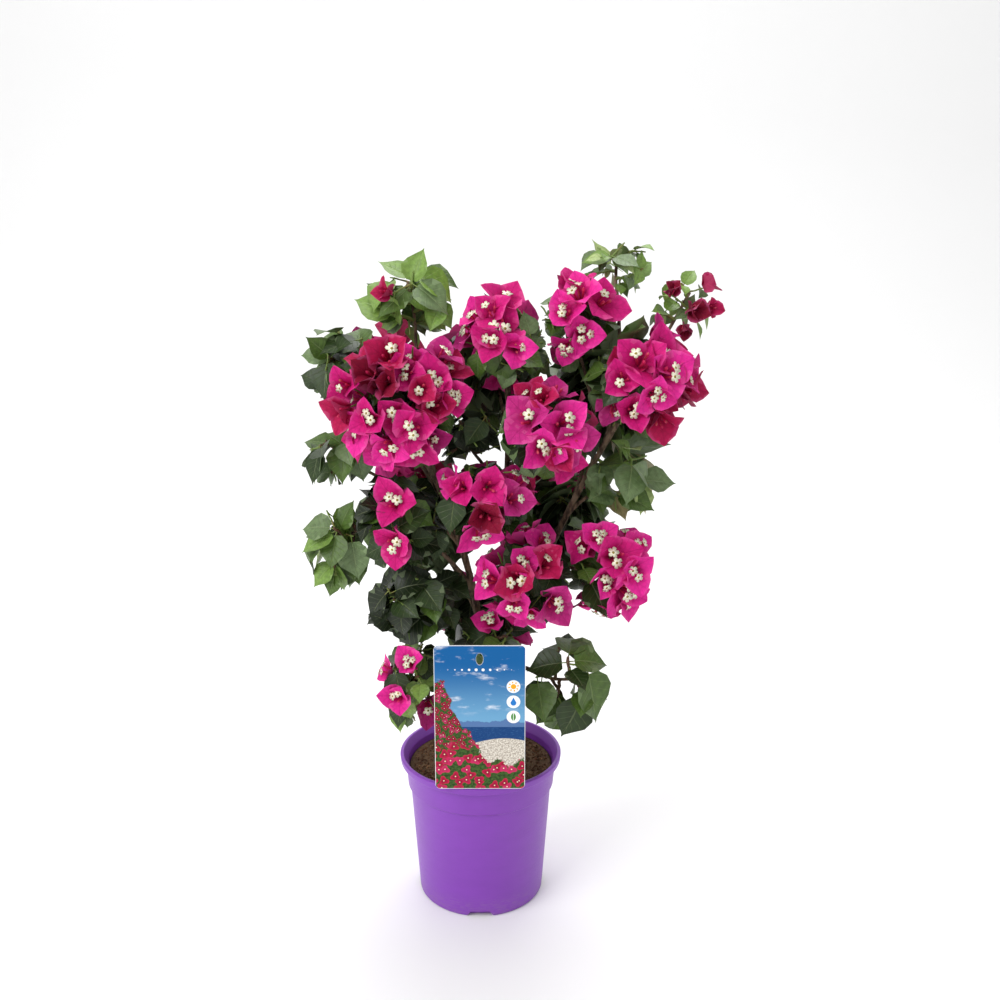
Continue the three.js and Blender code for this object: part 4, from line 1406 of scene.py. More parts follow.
def sign(look, x, z, kind, colour, tone):
    """A plain sign of care on a white disc, about where x and z are 0: a sun, a drop or a leaf."""
    size = settings("label").sign_size
    tone = look.mix(disc(x, z, size), tone, WHITE)
    if kind == "sun":
        away = away_from(x, z) / size
        rays = (z.math("ARCTAN2", x) * 8).sine().rise(0.2, 0.5) * away.rise(0.5, 0.54) * away.fall(0.76, 0.8)
        drawn = rays.most(away.fall(0.38, 0.42))
    elif kind == "drop":
        z = z + size * 0.18
        point = (x.size() * 1.9 + z).fall(size * 0.84, size * 0.9)
        drawn = disc(x, z, size * 0.42).most(point * z.rise(0, BLUR / 2))
    else:
        drawn = disc(x + size * 0.42, z, size * 0.78) * disc(x - size * 0.42, z, size * 0.78)
        drawn = drawn * x.size().rise(size * 0.03, size * 0.06)
    return look.mix(drawn, tone, colour)


def bead_row(look, tone, p, q):
    """A row of plain round dots across the head of the card, the largest in the middle."""
    spacing, height = 0.0068, label_high.z - pot_high.z
    across = ((p - 0.5) * 13).fraction() - 0.5
    away = away_from(across * spacing, (q - 0.835) * height)
    radius = 0.0016 - (p - 0.5).size() * 0.0036
    return look.mix((away - radius).fall(-BLUR / 2, BLUR / 2), tone, paint(252, 252, 252))


def print_finish():
    """The picture on the card: blossom before a beach, a lake and hills, and signs of care."""
    care = settings("label")
    look = Finish("label_print", WHITE, roughness=0.34, specular=0.2)
    x, _, z = look.parts(look.place)
    left, right, low = label_low.x, label_high.x, pot_high.z + CLEARANCE * MM
    height = label_high.z - low
    p, q = (x - left) / (right - left), (z - low) / height
    flat = look.vector(x, z)
    tone = bead_row(look, landscape(look, flat, p, q), p, q)
    edge = look.noise(80, 4, at=flat) * 0.22
    ragged = q + edge
    bank = (p + edge - 0.16 - (1 - q) ** 2 * 0.85).fall(-0.01, 0.01)
    bank = bank.most((ragged - 0.3).fall(-0.01, 0.01)) * (ragged - 0.86).fall(-0.01, 0.01)
    far = rosettes(look, flat, 190, shifted(care.petal_colour, 0.7), care.leaf_colour, 1)
    near = rosettes(look, flat, 105, care.petal_colour, care.leaf_colour, 0)
    tone = look.mix(bank, tone, look.mix((ragged - 0.42).fall(-0.02, 0.02), far, near))
    signs = (("sun", paint(240, 170, 30)), ("drop", paint(30, 120, 200)), ("leaf", paint(70, 140, 50)))
    for k, (kind, colour) in enumerate(signs):
        across, up = x - (right - 0.0115), z - (low + height * (0.72 - 0.105 * k))
        tone = sign(look, across, up, kind, colour, tone)
    inside = 1
    for rim in (x - left, right - x, z - low, label_high.z - z):
        inside = (rim - care.border).rise(0, BLUR) * inside
    look.lay(inside, tone)
    look.bump(look.noise(2600, 2, at=flat), 0.00004, 0.3)
    return look.done()


def floor_finish():
    colour = settings("stage").floor_colour
    look = Finish("studio_floor", colour, roughness=0.9, specular=0.1)
    look.lay(look.noise(3, 2) * 0.3, shifted(colour, 0.98))
    return look.done()


# ---------- tubes that follow paths ----------


class Assembly(NodeTree):
    """Geometry nodes from named inputs to real geometry with its material on."""

    def __init__(self, name, **inputs):
        self.tree = bpy.data.node_groups.new(name, "GeometryNodeTree")
        for socket, kind in {**inputs, "Material": "Material"}.items():
            self.tree.interface.new_socket(socket, in_out="INPUT", socket_type="NodeSocket" + kind)
        self.tree.interface.new_socket("Mesh", in_out="OUTPUT", socket_type="NodeSocketGeometry")

    def given(self, name):
        return self.node("NodeGroupInput", output=name)

    def finished(self, geometry):
        real = self.node("GeometryNodeRealizeInstances", inputs={"Geometry": geometry})
        inputs = {"Geometry": real, "Material": self.given("Material")}
        cover = self.node("GeometryNodeSetMaterial", inputs=inputs)
        self.tree.links.new(cover.socket, self.tree.nodes.new("NodeGroupOutput").inputs["Mesh"])
        return self.tree


def tube_tree():
    """Geometry nodes that lay a round tube, with its own radius at every point, along each path."""
    build = Assembly("tube_along_paths", Paths="Geometry", Sides="Int")
    curve = build.node("GeometryNodeMeshToCurve", inputs={"Mesh": build.given("Paths")})
    round_section = {"Resolution": build.given("Sides"), "Radius": 1.0}
    ring = build.node("GeometryNodeCurvePrimitiveCircle", inputs=round_section)
    radius = build.node("GeometryNodeInputNamedAttribute", {"data_type": "FLOAT"}, {"Name": "tube_radius"})
    inputs = {"Curve": curve, "Profile Curve": ring, "Scale": radius, "Fill Caps": True}
    tube = build.node("GeometryNodeCurveToMesh", inputs=inputs)
    return build.finished(build.node("GeometryNodeSetShadeSmooth", inputs={"Geometry": tube}))


def chip_tree():
    """Geometry nodes that strew chips over the level faces of the soil."""
    build = Assembly("strewn_chips", Soil="Geometry", Density="Float", Size="Float", Seed="Int")
    strewn = {"Mesh": build.given("Soil"), "Density": build.given("Density"), "Seed": build.given("Seed")}
    chip = {"Radius": build.given("Size"), "Subdivisions": 1}
    turns, sizes = {"Max": (6.28, 6.28, 6.28)}, {"Min": (0.35, 0.3, 0.18), "Max": (1.7, 1.0, 0.5)}
    inputs = {
        "Points": build.node("GeometryNodeDistributePointsOnFaces", inputs=strewn),
        "Instance": build.node("GeometryNodeMeshIcoSphere", inputs=chip),
        "Rotation": build.node("FunctionNodeRandomValue", {"data_type": "FLOAT_VECTOR"}, turns),
        "Scale": build.node("FunctionNodeRandomValue", {"data_type": "FLOAT_VECTOR"}, sizes),
    }
    return build.finished(build.node("GeometryNodeInstanceOnPoints", inputs=inputs))


def grown_by_nodes(name, base, tree, inputs):
    """The plain mesh piece that a node tree makes of a base mesh. Inputs go by their names."""
    source = linked(name + "_base", base)
    modifier = source.modifiers.new(name, "NODES")
    modifier.node_group = tree
    for item in tree.interface.items_tree:
        if item.in_out == "INPUT" and item.name in inputs:
            modifier[item.identifier] = inputs[item.name]
    mesh = as_modified(source)
    mesh.name = name
    source.modifiers.remove(modifier)
    bpy.data.objects.remove(source)
    return linked(name, mesh)


def paths_mesh(name, paths):
    """Paths as a mesh of edges. A path is its points in millimetres and the radius at each."""
    points = np.concatenate([np.array(points) for points, _ in paths]) * MM
    radii = np.concatenate([np.array(radii, float) for _, radii in paths]) * MM
    counts = [len(radii) for _, radii in paths]
    firsts = np.concatenate([[0], np.cumsum(counts)[:-1]])
    edges = [(first + k, first + k + 1) for first, count in zip(firsts, counts) for k in range(count - 1)]
    mesh = bpy.data.meshes.new(name)
    mesh.from_pydata(points.tolist(), edges, [])
    mesh.attributes.new("tube_radius", "FLOAT", "POINT").data.foreach_set("value", radii.astype(np.float32))
    return mesh


def tubes(name, paths, sides, material, tree):
    return grown_by_nodes(name, paths_mesh(name, paths), tree, {"Sides": sides, "Material": material})


def twig_path(limb, dice, segments, waver=0.7):
    """A twig's line with a slight zigzag, and a swelling at each bend where leaves stand."""
    points, radii = [], []
    for k in range(segments + 1):
        along = k / segments
        aside = square_to(limb.heading(along), k * GOLDEN_ANGLE + 6 * dice())
        points.append(limb.at(along) + aside * (waver if 0 < k < segments else 0))
        radii.append(limb.radius_at(along) * (1.12 if k % 2 else 0.95))
    return points, radii


def stalk_path(leaf, share, radius):
    """A leaf's stalk, from just inside the twig to just inside the blade, with a slight sag."""
    length = leaf.length * share
    points = []
    for along in (0.0, 0.5, 1.12):
        sag = 0.05 * length * sin(pi * along)
        points.append(leaf.root + leaf.forward * length * along - leaf.face * sag)
    return points, [radius * 1.25, radius, radius * 0.8]


# ---------- limbs with bark ----------


def ring_frames(points):
    """The heading at each point of a line, and two directions square to it that turn with it smoothly."""
    headings = np.gradient(points, axis=0)
    headings /= np.linalg.norm(headings, axis=1)[:, None]
    side = square_to(headings[0], 0)
    sides = []
    for heading in headings:
        side = unit(side - heading * side.dot(heading))
        sides.append(side)
    sides = np.array(sides)
    return headings, sides, np.cross(headings, sides)


def bark_tube(points, radii, sides, relief, seed):
    """A limb with cracked bark and round ends, as points and faces. Relief is the cracks' depth."""
    headings, across, other = ring_frames(points)
    spin = TURN * np.arange(sides) / sides
    lengths = np.concatenate([[0], np.cumsum(np.linalg.norm(np.diff(points, axis=0), axis=1))])
    rings = []
    for k, (middle, radius) in enumerate(zip(points, radii)):
        out = np.outer(np.cos(spin), across[k]) + np.outer(np.sin(spin), other[k])
        along = lengths[k] * 0.06 + seed
        spots = [Vector((2.6 * cos(a), 2.6 * sin(a), along)) for a in spin]
        cracks = np.array([noise.fractal(spot, 0.9, 2.1, 4) for spot in spots])
        rings.append(middle + out * (radius + relief * cracks)[:, None])
    ends = [points[0] - headings[0] * radii[0] * 0.5, points[-1] + headings[-1] * radii[-1] * 0.7]
    return np.concatenate([*rings, ends]), skin(len(rings), sides)


def limb_line(limb, rings):
    """Points along a limb and the radius at each."""
    steps = np.linspace(0, 1, rings)
    return np.array([limb.at(s) for s in steps]), np.array([limb.radius_at(s) for s in steps])


def bough_line(limb, stem, rings):
    """A bough that runs on as its stem, swollen a little where it leaves its parent."""
    points, radii = limb_line(limb, rings)
    ahead, thinner = limb_line(stem, rings // 2)
    radii = radii * (1 + 0.3 * np.exp(-np.linspace(0, 1, rings) * 9))
    return np.concatenate([points, ahead[1:]]), np.concatenate([radii, thinner[1:]])


# ---------- florets ----------


def star_shape():
    """An open floret's disc: five pointed lobes that dip towards the middle, closed above and below."""
    lobe = ((-0.628, 0.58, 0.04), (-0.36, 0.88, 0.16), (0.0, 1.0, 0.1), (0.36, 0.88, 0.16))
    rim = []
    for middle in range(5):
        for turn, out, height in lobe:
            angle = middle * TURN / 5 + turn
            rim.append((out * cos(angle), out * sin(angle), height))
    return np.array([*rim, (0, 0, -0.2), (0, 0, -0.08)]), skin(1, len(rim))


def throat_shape():
    """The dark dimple in the middle of an open floret: a shallow closed button."""
    spin = TURN * np.arange(6) / 6
    ring = np.stack([0.24 * np.cos(spin), 0.24 * np.sin(spin), np.full(6, -0.01)], 1)
    return np.array([*ring, (0, 0, -0.1), (0, 0, 0.04)]), skin(1, 6)


def axes_about(heading, turn):
    """Three axes with the third along a heading."""
    across = square_to(heading, turn)
    return np.array([across, np.cross(heading, across), heading])


@dataclass
class Floret:
    """A small flower in a bloom: where its tube starts and ends, which way it points, and if it is open."""

    foot: np.ndarray
    tip: np.ndarray
    heading: np.ndarray
    turn: float
    open: bool
    size: float


OPEN_SHARE = {"bright": 0.75, "magenta": 0.6, "orchid": 0.5, "crimson": 0.2, "wine": 0.0}
CUP_HALF_ANGLE = {"bright": 52, "magenta": 47, "orchid": 54, "crimson": 37, "wine": 26}
BRACT_ROLL = 0.2  # each bract leans on the next one


def florets_of(bloom, dice):
    """The three florets of a bloom, one in front of each bract."""
    for bract in range(3):
        out = square_to(bloom.axis, bloom.turn + bract * TURN / 3)
        heading = unit(bloom.axis + out * dice.between(0.16, 0.34) + UP * 0.05)
        foot = bloom.root + (bloom.axis * 0.06 + out * 0.06) * bloom.length
        length = bloom.length * dice.between(0.38, 0.52)
        opened = dice() < OPEN_SHARE[bloom.tint]
        size = bloom.length / BLOOM_LENGTH
        yield Floret(foot, foot + heading * length, heading, 6 * dice(), opened, size)


def bract_frames(blooms):
    """Root, heading, inner face and length of every bract, with how far each bract rolls back."""
    roots, forwards, faces, lengths, curls = [], [], [], [], []
    dice = Dice(77)
    for bloom in blooms:
        opening = radians(CUP_HALF_ANGLE[bloom.tint]) + dice.between(-0.14, 0.14)
        for bract in range(3):
            out = square_to(bloom.axis, bloom.turn + bract * TURN / 3 + dice.between(-0.14, 0.14))
            curl = dice.between(0.1, 1.15)
            start = opening - curl / 2 + dice.between(-0.12, 0.12)
            forward = bloom.axis * cos(start) + out * sin(start)
            face = bloom.axis * sin(start) - out * cos(start)
            roll = BRACT_ROLL + dice.between(-0.1, 0.1)
            roots.append(bloom.root + out * 0.6)
            forwards.append(forward)
            faces.append(face * cos(roll) + np.cross(face, forward) * sin(roll))
            lengths.append(bloom.length * dice.between(0.88, 1.04))
            curls.append(curl)
    return (np.array(a) for a in (roots, forwards, faces, lengths, curls))


# ---------- pot, soil and card ----------


def rounded(profile, radius, steps=4):
    """A profile with an arc in place of each inner corner. A point may carry its own radius."""
    made = [profile[0][:2]]
    for before, corner, after in zip(profile, profile[1:], profile[2:]):
        here = Vector(corner[:2])
        back, ahead = Vector(before[:2]) - here, Vector(after[:2]) - here
        wanted = corner[2] if len(corner) > 2 else radius
        half = back.angle(ahead) / 2
        cut = min(wanted / tan(half), back.length * 0.45, ahead.length * 0.45)
        first, last = here + back.normalized() * cut, here + ahead.normalized() * cut
        for k in range(steps + 1):
            share = k / steps
            bent = first * (1 - share) ** 2 + here * 2 * share * (1 - share) + last * share**2
            made.append(tuple(bent))
    return [*made, profile[-1][:2]]


def lathed(name, profile, sides, ripple=None):
    """A closed turned shape. The profile runs from the axis out and back to the axis. A ripple gives how
    far each point is raised."""
    spin = TURN * np.arange(sides) / sides
    points = [(radius * cos(a), radius * sin(a), height) for radius, height in profile[1:-1] for a in spin]
    points = np.array([*points, (0, 0, profile[0][1]), (0, 0, profile[-1][1])])
    if ripple:
        points[:, 2] += [ripple(x, y, height) for x, y, height in points]
    return mesh_of(name, points, skin(len(profile) - 2, sides))


def wall_radius(height):
    """The pot wall's outer radius under the collar."""
    care = settings("pot")
    top = pot_high.z - care.collar_height
    return care.wall_foot + (care.wall_top - care.wall_foot) * height / top


def notched(piece):
    """Cuts the drain notches into the pot's foot."""
    care = settings("pot")
    half, lean, top = care.notch_width / 2, care.notch_lean, care.notch_height
    section = [(-half - lean, -top), (half + lean, -top), (half - lean, top), (-half + lean, top)]
    reach = 0.007
    for k in range(care.notches):
        turn = TURN * k / care.notches
        ends = []
        for out in (care.wall_foot - reach, care.wall_foot + reach):
            ends.append([(*turned(across, -out, turn), height) for across, height in section])
        cutter = linked("notch", prism("notch", *ends))
        cut = piece.modifiers.new("notch", "BOOLEAN")
        cut.operation = "DIFFERENCE"
        cut.solver = "EXACT"
        cut.object = cutter
        carved = as_modified(piece)
        piece.modifiers.remove(cut)
        bpy.data.objects.remove(cutter)
        piece.data = carved
    piece.data.name = piece.name
    piece.data.set_sharp_from_angle(angle=radians(40))
    return piece


def turned(x, y, angle):
    """A place turned about the pot's axis."""
    return x * cos(angle) - y * sin(angle), x * sin(angle) + y * cos(angle)


def extruded(name, outline, hole, front, back):
    """A flat plate with a hole, from outlines in x and z, between two y planes."""
    flat = [Vector((x, z, 0)) for x, z in [*outline, *hole]]
    triangles = geometry.tessellate_polygon([flat[: len(outline)], flat[len(outline) :]])
    count = len(flat)
    points = [(p.x, y, p.y) for y in (front, back) for p in flat]
    faces = []
    for a, b, c in triangles:
        turn = (flat[b] - flat[a]).cross(flat[c] - flat[a]).z
        a, b, c = (a, b, c) if turn > 0 else (a, c, b)
        faces += [(a, b, c), (a + count, c + count, b + count)]
    for first, size in ((0, len(outline)), (len(outline), len(hole))):
        for k in range(size):
            here, ahead = first + k, first + (k + 1) % size
            faces.append((ahead, here, here + count, ahead + count))
    return flat_mesh(name, points, faces)


def card_outline(inset=0.0):
    """The card's rounded outline, turning left, and its oval eye, turning right."""
    care = settings("label")
    low, top = pot_high.z + CLEARANCE * MM + inset, label_high.z - inset
    left, right = label_low.x + inset, label_high.x - inset
    radius = care.corner - inset
    inner_right, inner_left = right - radius, left + radius
    middles = [(inner_right, low + radius), (inner_right, top - radius)]
    middles += [(inner_left, top - radius), (inner_left, low + radius)]
    outline = []
    for quarter, (x, z) in enumerate(middles):
        for k in range(9):
            angle = (quarter - 1 + k / 8) * pi / 2
            outline.append((x + radius * cos(angle), z + radius * sin(angle)))
    middle, height = (left + right) / 2, label_high.z - care.eye_drop
    across, up = care.eye_width / 2 + inset, care.eye_height / 2 + inset
    angles = [-TURN * k / 28 for k in range(28)]
    return outline, [(middle + across * cos(a), height + up * sin(a)) for a in angles]


# ---------- operators ----------
FOLIAGE_NODES = ["foliage_" + name for name in MASSES]
BOUGH_NODES = ["bough_" + name for name in MASSES]


class BuildStage(Operator):
    """Sets up the floor, the soft light and the camera."""

    bl_idname = "bougainvillea.stage"
    bl_label = "Stage"

    def execute(self, context):
        care = settings("stage")
        self.backdrop()
        scene = context.scene
        world = bpy.data.worlds.new("studio")
        world.use_nodes = True
        glow = world.node_tree.nodes["Background"].inputs
        glow["Color"].default_value = (1, 1, 1, 1)
        glow["Strength"].default_value = 0.62 * care.light
        scene.world = world
        scene.view_settings.view_transform = "Standard"
        self.panel("key_light", (-2.0, -1.7, 2.3), 2.0, 66)
        self.panel("fill_light", (1.9, -1.6, 1.3), 2.0, 4)
        self.panel("top_light", (0.2, 1.2, 2.4), 1.6, 20)
        self.panel("wall_light", (0, 1.2, 4.6), 3.0, 60, Vector((0, 3.6, 0.4)))
        lens = bpy.data.cameras.new("camera")
        lens.lens, lens.sensor_width = care.lens, 36.0
        lens.clip_start, lens.clip_end = 0.02, 50.0
        camera = linked("camera", lens)
        camera.location = (care.camera_side, -care.camera_distance, care.camera_height)
        camera.rotation_euler = (pi / 2 - care.camera_dip, 0, 0)
        scene.camera = camera
        return {"FINISHED"}

    def backdrop(self):
        """A floor that turns up into a wall far behind, in one smooth sheet."""
        half, bend, depth, top = 9.0, 1.5, 3.4, 6.0
        line = [(-7.0, 0.0)]
        for angle in np.linspace(0, pi / 2, 17):
            line.append((depth - bend + bend * sin(angle), bend - bend * cos(angle)))
        line.append((depth, top))
        points = [(x, y, z) for y, z in line for x in (-half, half)]
        faces = [(2 * k, 2 * k + 1, 2 * k + 3, 2 * k + 2) for k in range(len(line) - 1)]
        sheet = mesh_of("studio_floor", np.array(points), [np.array(faces)])
        piece_of(sheet, floor_finish())

    def panel(self, name, place, size, power, target=None):
        """A soft square light that looks at the middle of the plant, or at another place."""
        lamp = bpy.data.lights.new(name, "AREA")
        lamp.shape, lamp.size = "SQUARE", size
        lamp.energy = power * settings("stage").light
        light = linked(name, lamp)
        light.location = place
        aim = (target or (cad_low + cad_high) / 2) - Vector(place)
        light.rotation_euler = aim.to_track_quat("-Z", "Y").to_euler()


class BuildPot(Operator):
    """Builds the moulded pot with its lip, collar and drain notches."""

    bl_idname = "bougainvillea.pot"
    bl_label = "Pot"

    def execute(self, context):
        care = settings("pot")
        top, lip = pot_high.z, pot_high.x
        collar = top - care.collar_height
        under_lip = top - care.lip_height
        over_notch = care.notch_height + 0.0015
        wall, fine = care.wall, care.rounding
        profile = [
            (0, 0.0012),
            (care.wall_foot - 0.012, 0.0012),
            (care.wall_foot - 0.010, 0),
            (care.wall_foot, 0, care.foot_rounding),
            (wall_radius(over_notch), over_notch),
            (wall_radius(over_notch + 0.0015), over_notch + 0.0015),
            (wall_radius(collar - 0.002), collar - 0.002, 0.0006),
            (care.collar_foot, collar, fine),
            (care.collar_top, under_lip - 0.002, 0.0006),
            (lip - 0.0008, under_lip, fine),
            (lip, top - 0.001, fine),
            (lip - 0.0036, top, fine),
            (care.collar_top - wall, under_lip - 0.001, 0.004),
            (care.collar_foot - wall, collar + 0.002, 0.001),
            (wall_radius(collar) - wall, collar - 0.002, 0.001),
            (wall_radius(care.floor) - wall, care.floor, 0.003),
            (0, care.floor),
        ]
        piece = piece_of(lathed("nursery_pot", rounded(profile, fine), 144), pot_finish())
        dress(notched(piece), "pot_plastic", "pot")
        return {"FINISHED"}


class BuildSoil(Operator):
    """Builds the potting soil and strews it with bark chips."""

    bl_idname = "bougainvillea.soil"
    bl_label = "Potting soil"

    def execute(self, context):
        care = settings("pot")
        gap = care.wall + CLEARANCE * MM
        collar = pot_high.z - care.collar_height
        level, crest = care.soil_level, soil_high.z
        edge = care.collar_foot + 0.001 - gap
        foot = TRUNK_RADII["flare"] * MM
        profile = [
            (0, soil_low.z),
            (wall_radius(care.floor) - gap - 0.001, soil_low.z),
            (wall_radius(collar) - gap, collar - 0.002),
            (care.collar_foot - gap, collar + 0.003),
            (edge - 0.0004, level - 0.001),
        ]
        for share in np.linspace(0.97, 0.05, 26):
            radius = edge * share
            rise = 1 - min(1, max(0, (radius - foot) / 0.022))
            profile.append((radius, level + (crest - level) * rise * rise * (3 - 2 * rise) * 0.9))
        profile.append((0, crest - 0.0003))

        def ripple(x, y, height):
            if height < level - 0.0005:
                return 0
            rough = noise.fractal(Vector((x, y, 0.3)) * 90, 0.9, 2.0, 4)
            return -0.0012 + 0.0011 * rough

        soil = piece_of(lathed("soil_surface", profile, 112, ripple), soil_finish())
        dress(soil, "potting_soil", "potting_soil")
        level_faces = self.level_faces(soil.data, level - 0.004)
        inputs = {"Density": care.chips, "Size": 0.0019, "Seed": 5, "Material": chip_finish()}
        chips = grown_by_nodes("bark_chips", level_faces, chip_tree(), inputs)
        dress(chips, "potting_soil")
        return {"FINISHED"}

    def level_faces(self, mesh, least):
        """The soil's upper faces alone, inside the pot's wall."""
        reach = (settings("pot").collar_foot - 0.006) ** 2
        kept = [
            tuple(face.vertices)
            for face in mesh.polygons
            if face.center.z > least and face.center.x**2 + face.center.y**2 < reach and face.normal.z > 0.3
        ]
        return flat_mesh("level_soil", [tuple(v.co) for v in mesh.vertices], kept)


PRINT = 0.0001  # thickness of the printed face


class BuildLabel(Operator):
    """Builds the picture card, its print and the tongue that holds it in the soil."""

    bl_idname = "bougainvillea.label"
    bl_label = "Picture label"

    def execute(self, context):
        care = settings("label")
        front = label_low.y
        back = front + care.thickness
        plate = extruded("card", *card_outline(), front + PRINT, back)
        picture = extruded("card_print", *card_outline(2 * PRINT), front, front + PRINT)
        paper = card_finish()
        for mesh, finish in ((plate, paper), (self.tongue(back), paper), (picture, print_finish())):
            dress(piece_of(mesh, finish), "label_card", "picture_label")
        return {"FINISHED"}

    def tongue(self, back):
        """A strip behind the card that steps back over the rim and runs down into the soil."""
        set_back, thickness, half, sunk = 0.0155, 0.0014, 0.009, 0.0002
        rim, step = pot_high.z, pot_high.z + 0.062
        middle = (label_low.x + label_high.x) / 2
        outer, inner = back + set_back, back + set_back + thickness
        side = [(outer, label_low.z), (inner, label_low.z), (inner, rim + 0.032), (back + 0.0008, step)]
        side += [(back - sunk, step), (back - sunk, rim + 0.056), (outer, rim + 0.029)]
        ends = [[(middle + x, y, z) for y, z in side] for x in (-half, half)]
        return prism("card_tongue", *ends)


class BuildLimbs(Operator):
    """Builds the trunk and boughs with their bark."""

    bl_idname = "bougainvillea.limbs"
    bl_label = "Trunk and boughs"

    def execute(self, context):
        care = settings("limbs")
        limbs, growths = grown_plant()
        relief = care.relief / MM
        tubes_made = [bark_tube(*limb_line(limbs["trunk"], 34), 24, relief, 1.0)]
        for k, (name, growth) in enumerate(growths.items()):
            main = MASSES[name].parent == "trunk"
            rings, sides, rough = (44, 14, 0.5) if main else (26, 10, 0.28)
            points, radii = bough_line(limbs[name], growth.stem, rings)
            tubes_made.append(bark_tube(points, radii, sides, relief * rough, 3.0 + k))
        points, faces, first = [], [], 0
        for verts, made in tubes_made:
            points.append(verts)
            faces += [part + first for part in made]
            first += len(verts)
        mesh = mesh_of("trunk_and_boughs", np.concatenate(points) * MM, faces)
        dress(piece_of(mesh, bark_finish()), "bark", "trunk", *BOUGH_NODES)
        return {"FINISHED"}


class BuildTwigs(Operator):
    """Builds the twigs, the soft shoots and the leaf stalks."""

    bl_idname = "bougainvillea.twigs"
    bl_label = "Twigs and shoots"

    def execute(self, context):
        care, leaf_care = settings("limbs"), settings("leaves")
        _, growths = grown_plant()
        dice = Dice(91)
        ripe, soft, stalks = [], [], []
        for growth in growths.values():
            twigs = soft if growth.mass.kind.green else ripe
            twigs += [twig_path(limb, dice, 6) for limb in growth.twigs]
            soft += [twig_path(limb, dice, 4, 0.4) for limb in growth.side_twigs]
            radius = care.stalk_radius / MM
            stalks += [stalk_path(leaf, leaf_care.stalk, radius) for leaf in growth.leaves]
        tree = tube_tree()
        dress(tubes("ripe_twigs", ripe, 7, twig_finish(), tree), "bark", *FOLIAGE_NODES)
        shoots = shoot_finish()
        dress(tubes("soft_shoots", soft, 6, shoots, tree), "green_shoot", *FOLIAGE_NODES)
        dress(tubes("leaf_stalks", stalks, 5, shoots, tree), "green_shoot", *FOLIAGE_NODES)
        return {"FINISHED"}


LEAF_TINTS = ("deep", "dark", "mid", "sheen", "young", "lime", "pale", "bronze")
YOUNG_TINTS = ("young", "lime", "pale")
BRACT_TINTS = ("bright", "magenta", "orchid", "crimson", "wine")


class BuildLeaves(Operator):
    """Builds the leaves, one joined piece for each tint."""

    bl_idname = "bougainvillea.leaves"
    bl_label = "Leaves"

    def execute(self, context):
        grid = BladeGrid()
        for number, tint, leaves in with_tint(all_leaves(), LEAF_TINTS):
            self.build(grid, tint, leaves, 400 + number)
        return {"FINISHED"}

    def build(self, grid, tint, leaves, seed):
        care = settings("leaves")
        draw = np.random.default_rng(seed)
        count = len(leaves)
        shape = BladeShape(
            width=gathered(leaves, "slender") * care.width / (1 - care.stalk),
            thickness=care.thickness / MM,
            outline=leaf_outline,
            lobes=0.07,
            curl=draw.uniform(0.0, 0.9, count),
            fold=draw.uniform(0.08, 0.42, count),
            wave=draw.uniform(0.02, 0.09, count),
            phase=draw.uniform(0, 6.28, count),
            twist=draw.uniform(-0.35, 0.35, count),
        )
        forwards, faces, lengths = (gathered(leaves, name) for name in ("forward", "face", "length"))
        roots = gathered(leaves, "root") + forwards * lengths[:, None] * care.stalk
        points = blade_points(grid, roots, forwards, faces, lengths * (1 - care.stalk), shape)
        mesh = grid.mesh("leaves_" + tint, points * MM)
        piece = piece_of(mesh, leaf_finish("leaf_" + tint, getattr(care, tint)))
        slot = "young_foliage" if tint in YOUNG_TINTS else "foliage"
        dress(piece, "bronze_foliage" if tint == "bronze" else slot, *FOLIAGE_NODES)


class BuildBlooms(Operator):
    """Builds the bracts, one joined piece for each tint."""

    bl_idname = "bougainvillea.blooms"
    bl_label = "Bracts"

    def execute(self, context):
        grid = BladeGrid()
        for number, tint, blooms in with_tint(all_blooms(), BRACT_TINTS):
            self.build(grid, tint, blooms, 500 + number)
        return {"FINISHED"}

    def build(self, grid, tint, blooms, seed):
        care = settings("blooms")
        roots, forwards, faces, lengths, curls = bract_frames(blooms)
        draw = np.random.default_rng(seed)
        count = len(roots)
        shape = BladeShape(
            width=care.bract_width * draw.uniform(0.92, 1.06, count),
            thickness=care.bract_thickness / MM,
            outline=bract_outline,
            lobes=0.05,
            curl=curls,
            fold=draw.uniform(-0.05, 0.38, count),
            wave=draw.uniform(0.08, 0.27, count),
            phase=draw.uniform(0, 6.28, count),
            twist=draw.uniform(-0.4, 0.4, count),
        )
        points = blade_points(grid, roots, forwards, faces, lengths, shape)
        mesh = grid.mesh("bracts_" + tint, points * MM)
        piece = piece_of(mesh, bract_finish("bract_" + tint, getattr(care, tint)))
        slot = "deep_blossom" if tint in ("crimson", "wine") else "blossom"
        dress(piece, slot, *FOLIAGE_NODES)


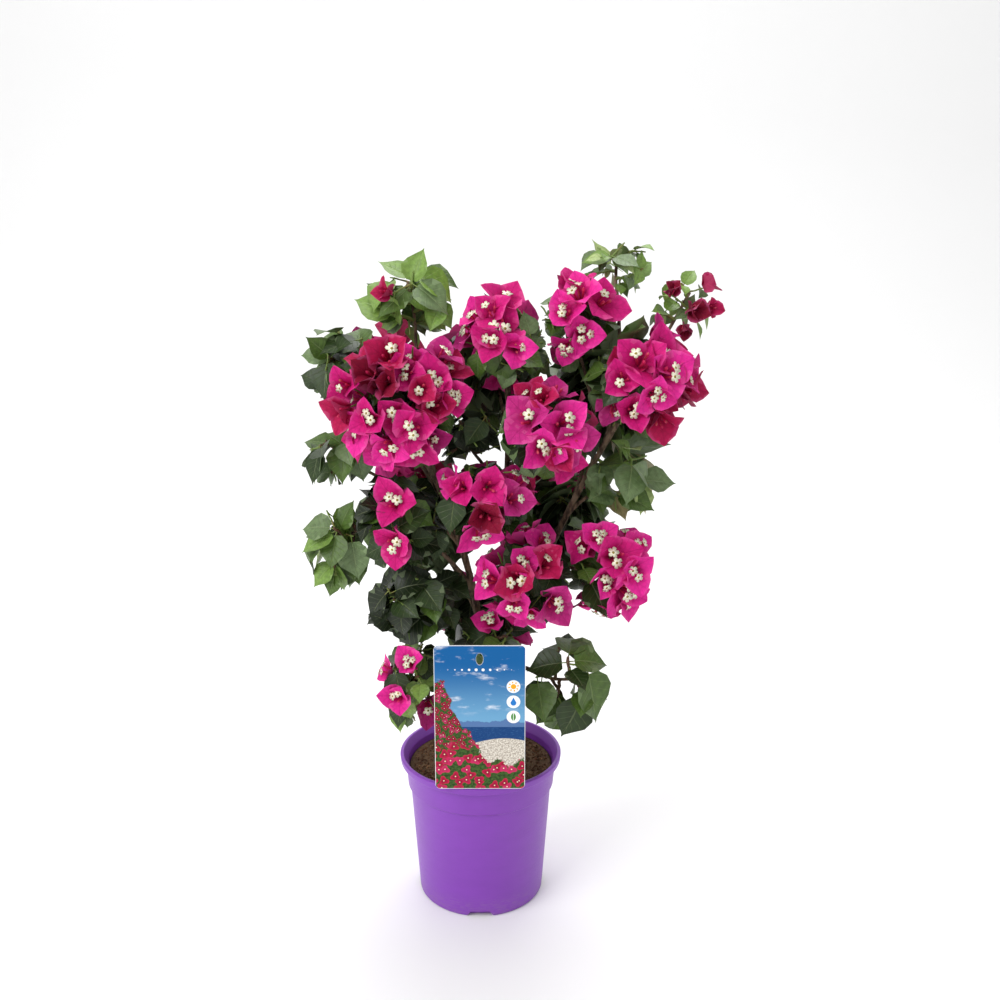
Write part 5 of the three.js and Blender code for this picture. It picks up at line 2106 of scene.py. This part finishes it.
class BuildFlorets(Operator):
    """Builds the florets inside the bracts: tubes, buds, open stars and their throats."""

    bl_idname = "bougainvillea.florets"
    bl_label = "Florets"

    def execute(self, context):
        care = settings("blooms")
        dice = Dice(63)
        florets = [floret for bloom in all_blooms() for floret in florets_of(bloom, dice)]
        radius = care.tube_radius / MM
        paths = [self.tube_path(floret, radius) for floret in florets]
        dress(tubes("floret_tubes", paths, 6, tube_finish(), tube_tree()), "bud", *FOLIAGE_NODES)
        opened = [floret for floret in florets if floret.open]
        for name, (points, faces), material in (
            ("floret_stars", star_shape(), star_finish()),
            ("floret_throats", throat_shape(), throat_finish()),
        ):
            origins = [(floret.tip + floret.heading * 0.6) * MM for floret in opened]
            axes = np.array([axes_about(floret.heading, floret.turn) for floret in opened])
            sizes = [care.star_radius * floret.size for floret in opened]
            placed, joined = stamped(points, faces, origins, axes, sizes)
            dress(piece_of(mesh_of(name, placed, joined), material), "floret", *FOLIAGE_NODES)
        return {"FINISHED"}

    def tube_path(self, floret, radius):
        """A tube that swells low down and flares under a star, or ends in a pointed bud."""
        run = floret.tip - floret.foot
        if floret.open:
            steps = ((0.0, 0.7), (0.3, 1.15), (0.65, 0.8), (0.9, 1.1), (1.0, 1.7))
        else:
            steps = ((0.0, 0.7), (0.3, 1.15), (0.6, 0.85), (0.82, 1.45), (0.95, 1.2), (1.02, 0.35))
        points = [floret.foot + run * along for along, _ in steps]
        return points, [radius * wide * floret.size for _, wide in steps]


BUILDERS = (BuildStage, BuildPot, BuildSoil, BuildLabel, BuildLimbs)
BUILDERS += (BuildTwigs, BuildLeaves, BuildBlooms, BuildFlorets)


class BougainvilleaPanel(Panel):
    """Lists the pieces of the plant and their settings."""

    bl_idname = "VIEW3D_PT_bougainvillea"
    bl_label = "Potted bougainvillea"
    bl_space_type = "VIEW_3D"
    bl_region_type = "UI"
    bl_category = "Bougainvillea"

    def draw(self, context):
        for builder in BUILDERS:
            self.layout.operator(builder.bl_idname)
        for group, kind in SETTINGS.items():
            box = self.layout.box()
            box.label(text=group.capitalize())
            for name in kind.__annotations__:
                box.prop(settings(group), name)


CLASSES = (*SETTINGS.values(), *BUILDERS, BougainvilleaPanel)


def register():
    for each in CLASSES:
        bpy.utils.register_class(each)
    for group, kind in SETTINGS.items():
        setattr(bpy.types.Scene, "bougainvillea_" + group, PointerProperty(type=kind))


def unregister():
    for group in SETTINGS:
        delattr(bpy.types.Scene, "bougainvillea_" + group)
    for each in reversed(CLASSES):
        bpy.utils.unregister_class(each)


def main():
    """Builds every piece in order."""
    register()
    for builder in BUILDERS:
        family, name = builder.bl_idname.split(".")
        getattr(getattr(bpy.ops, family), name)()
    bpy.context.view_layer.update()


if __name__ == "__main__":
    main()
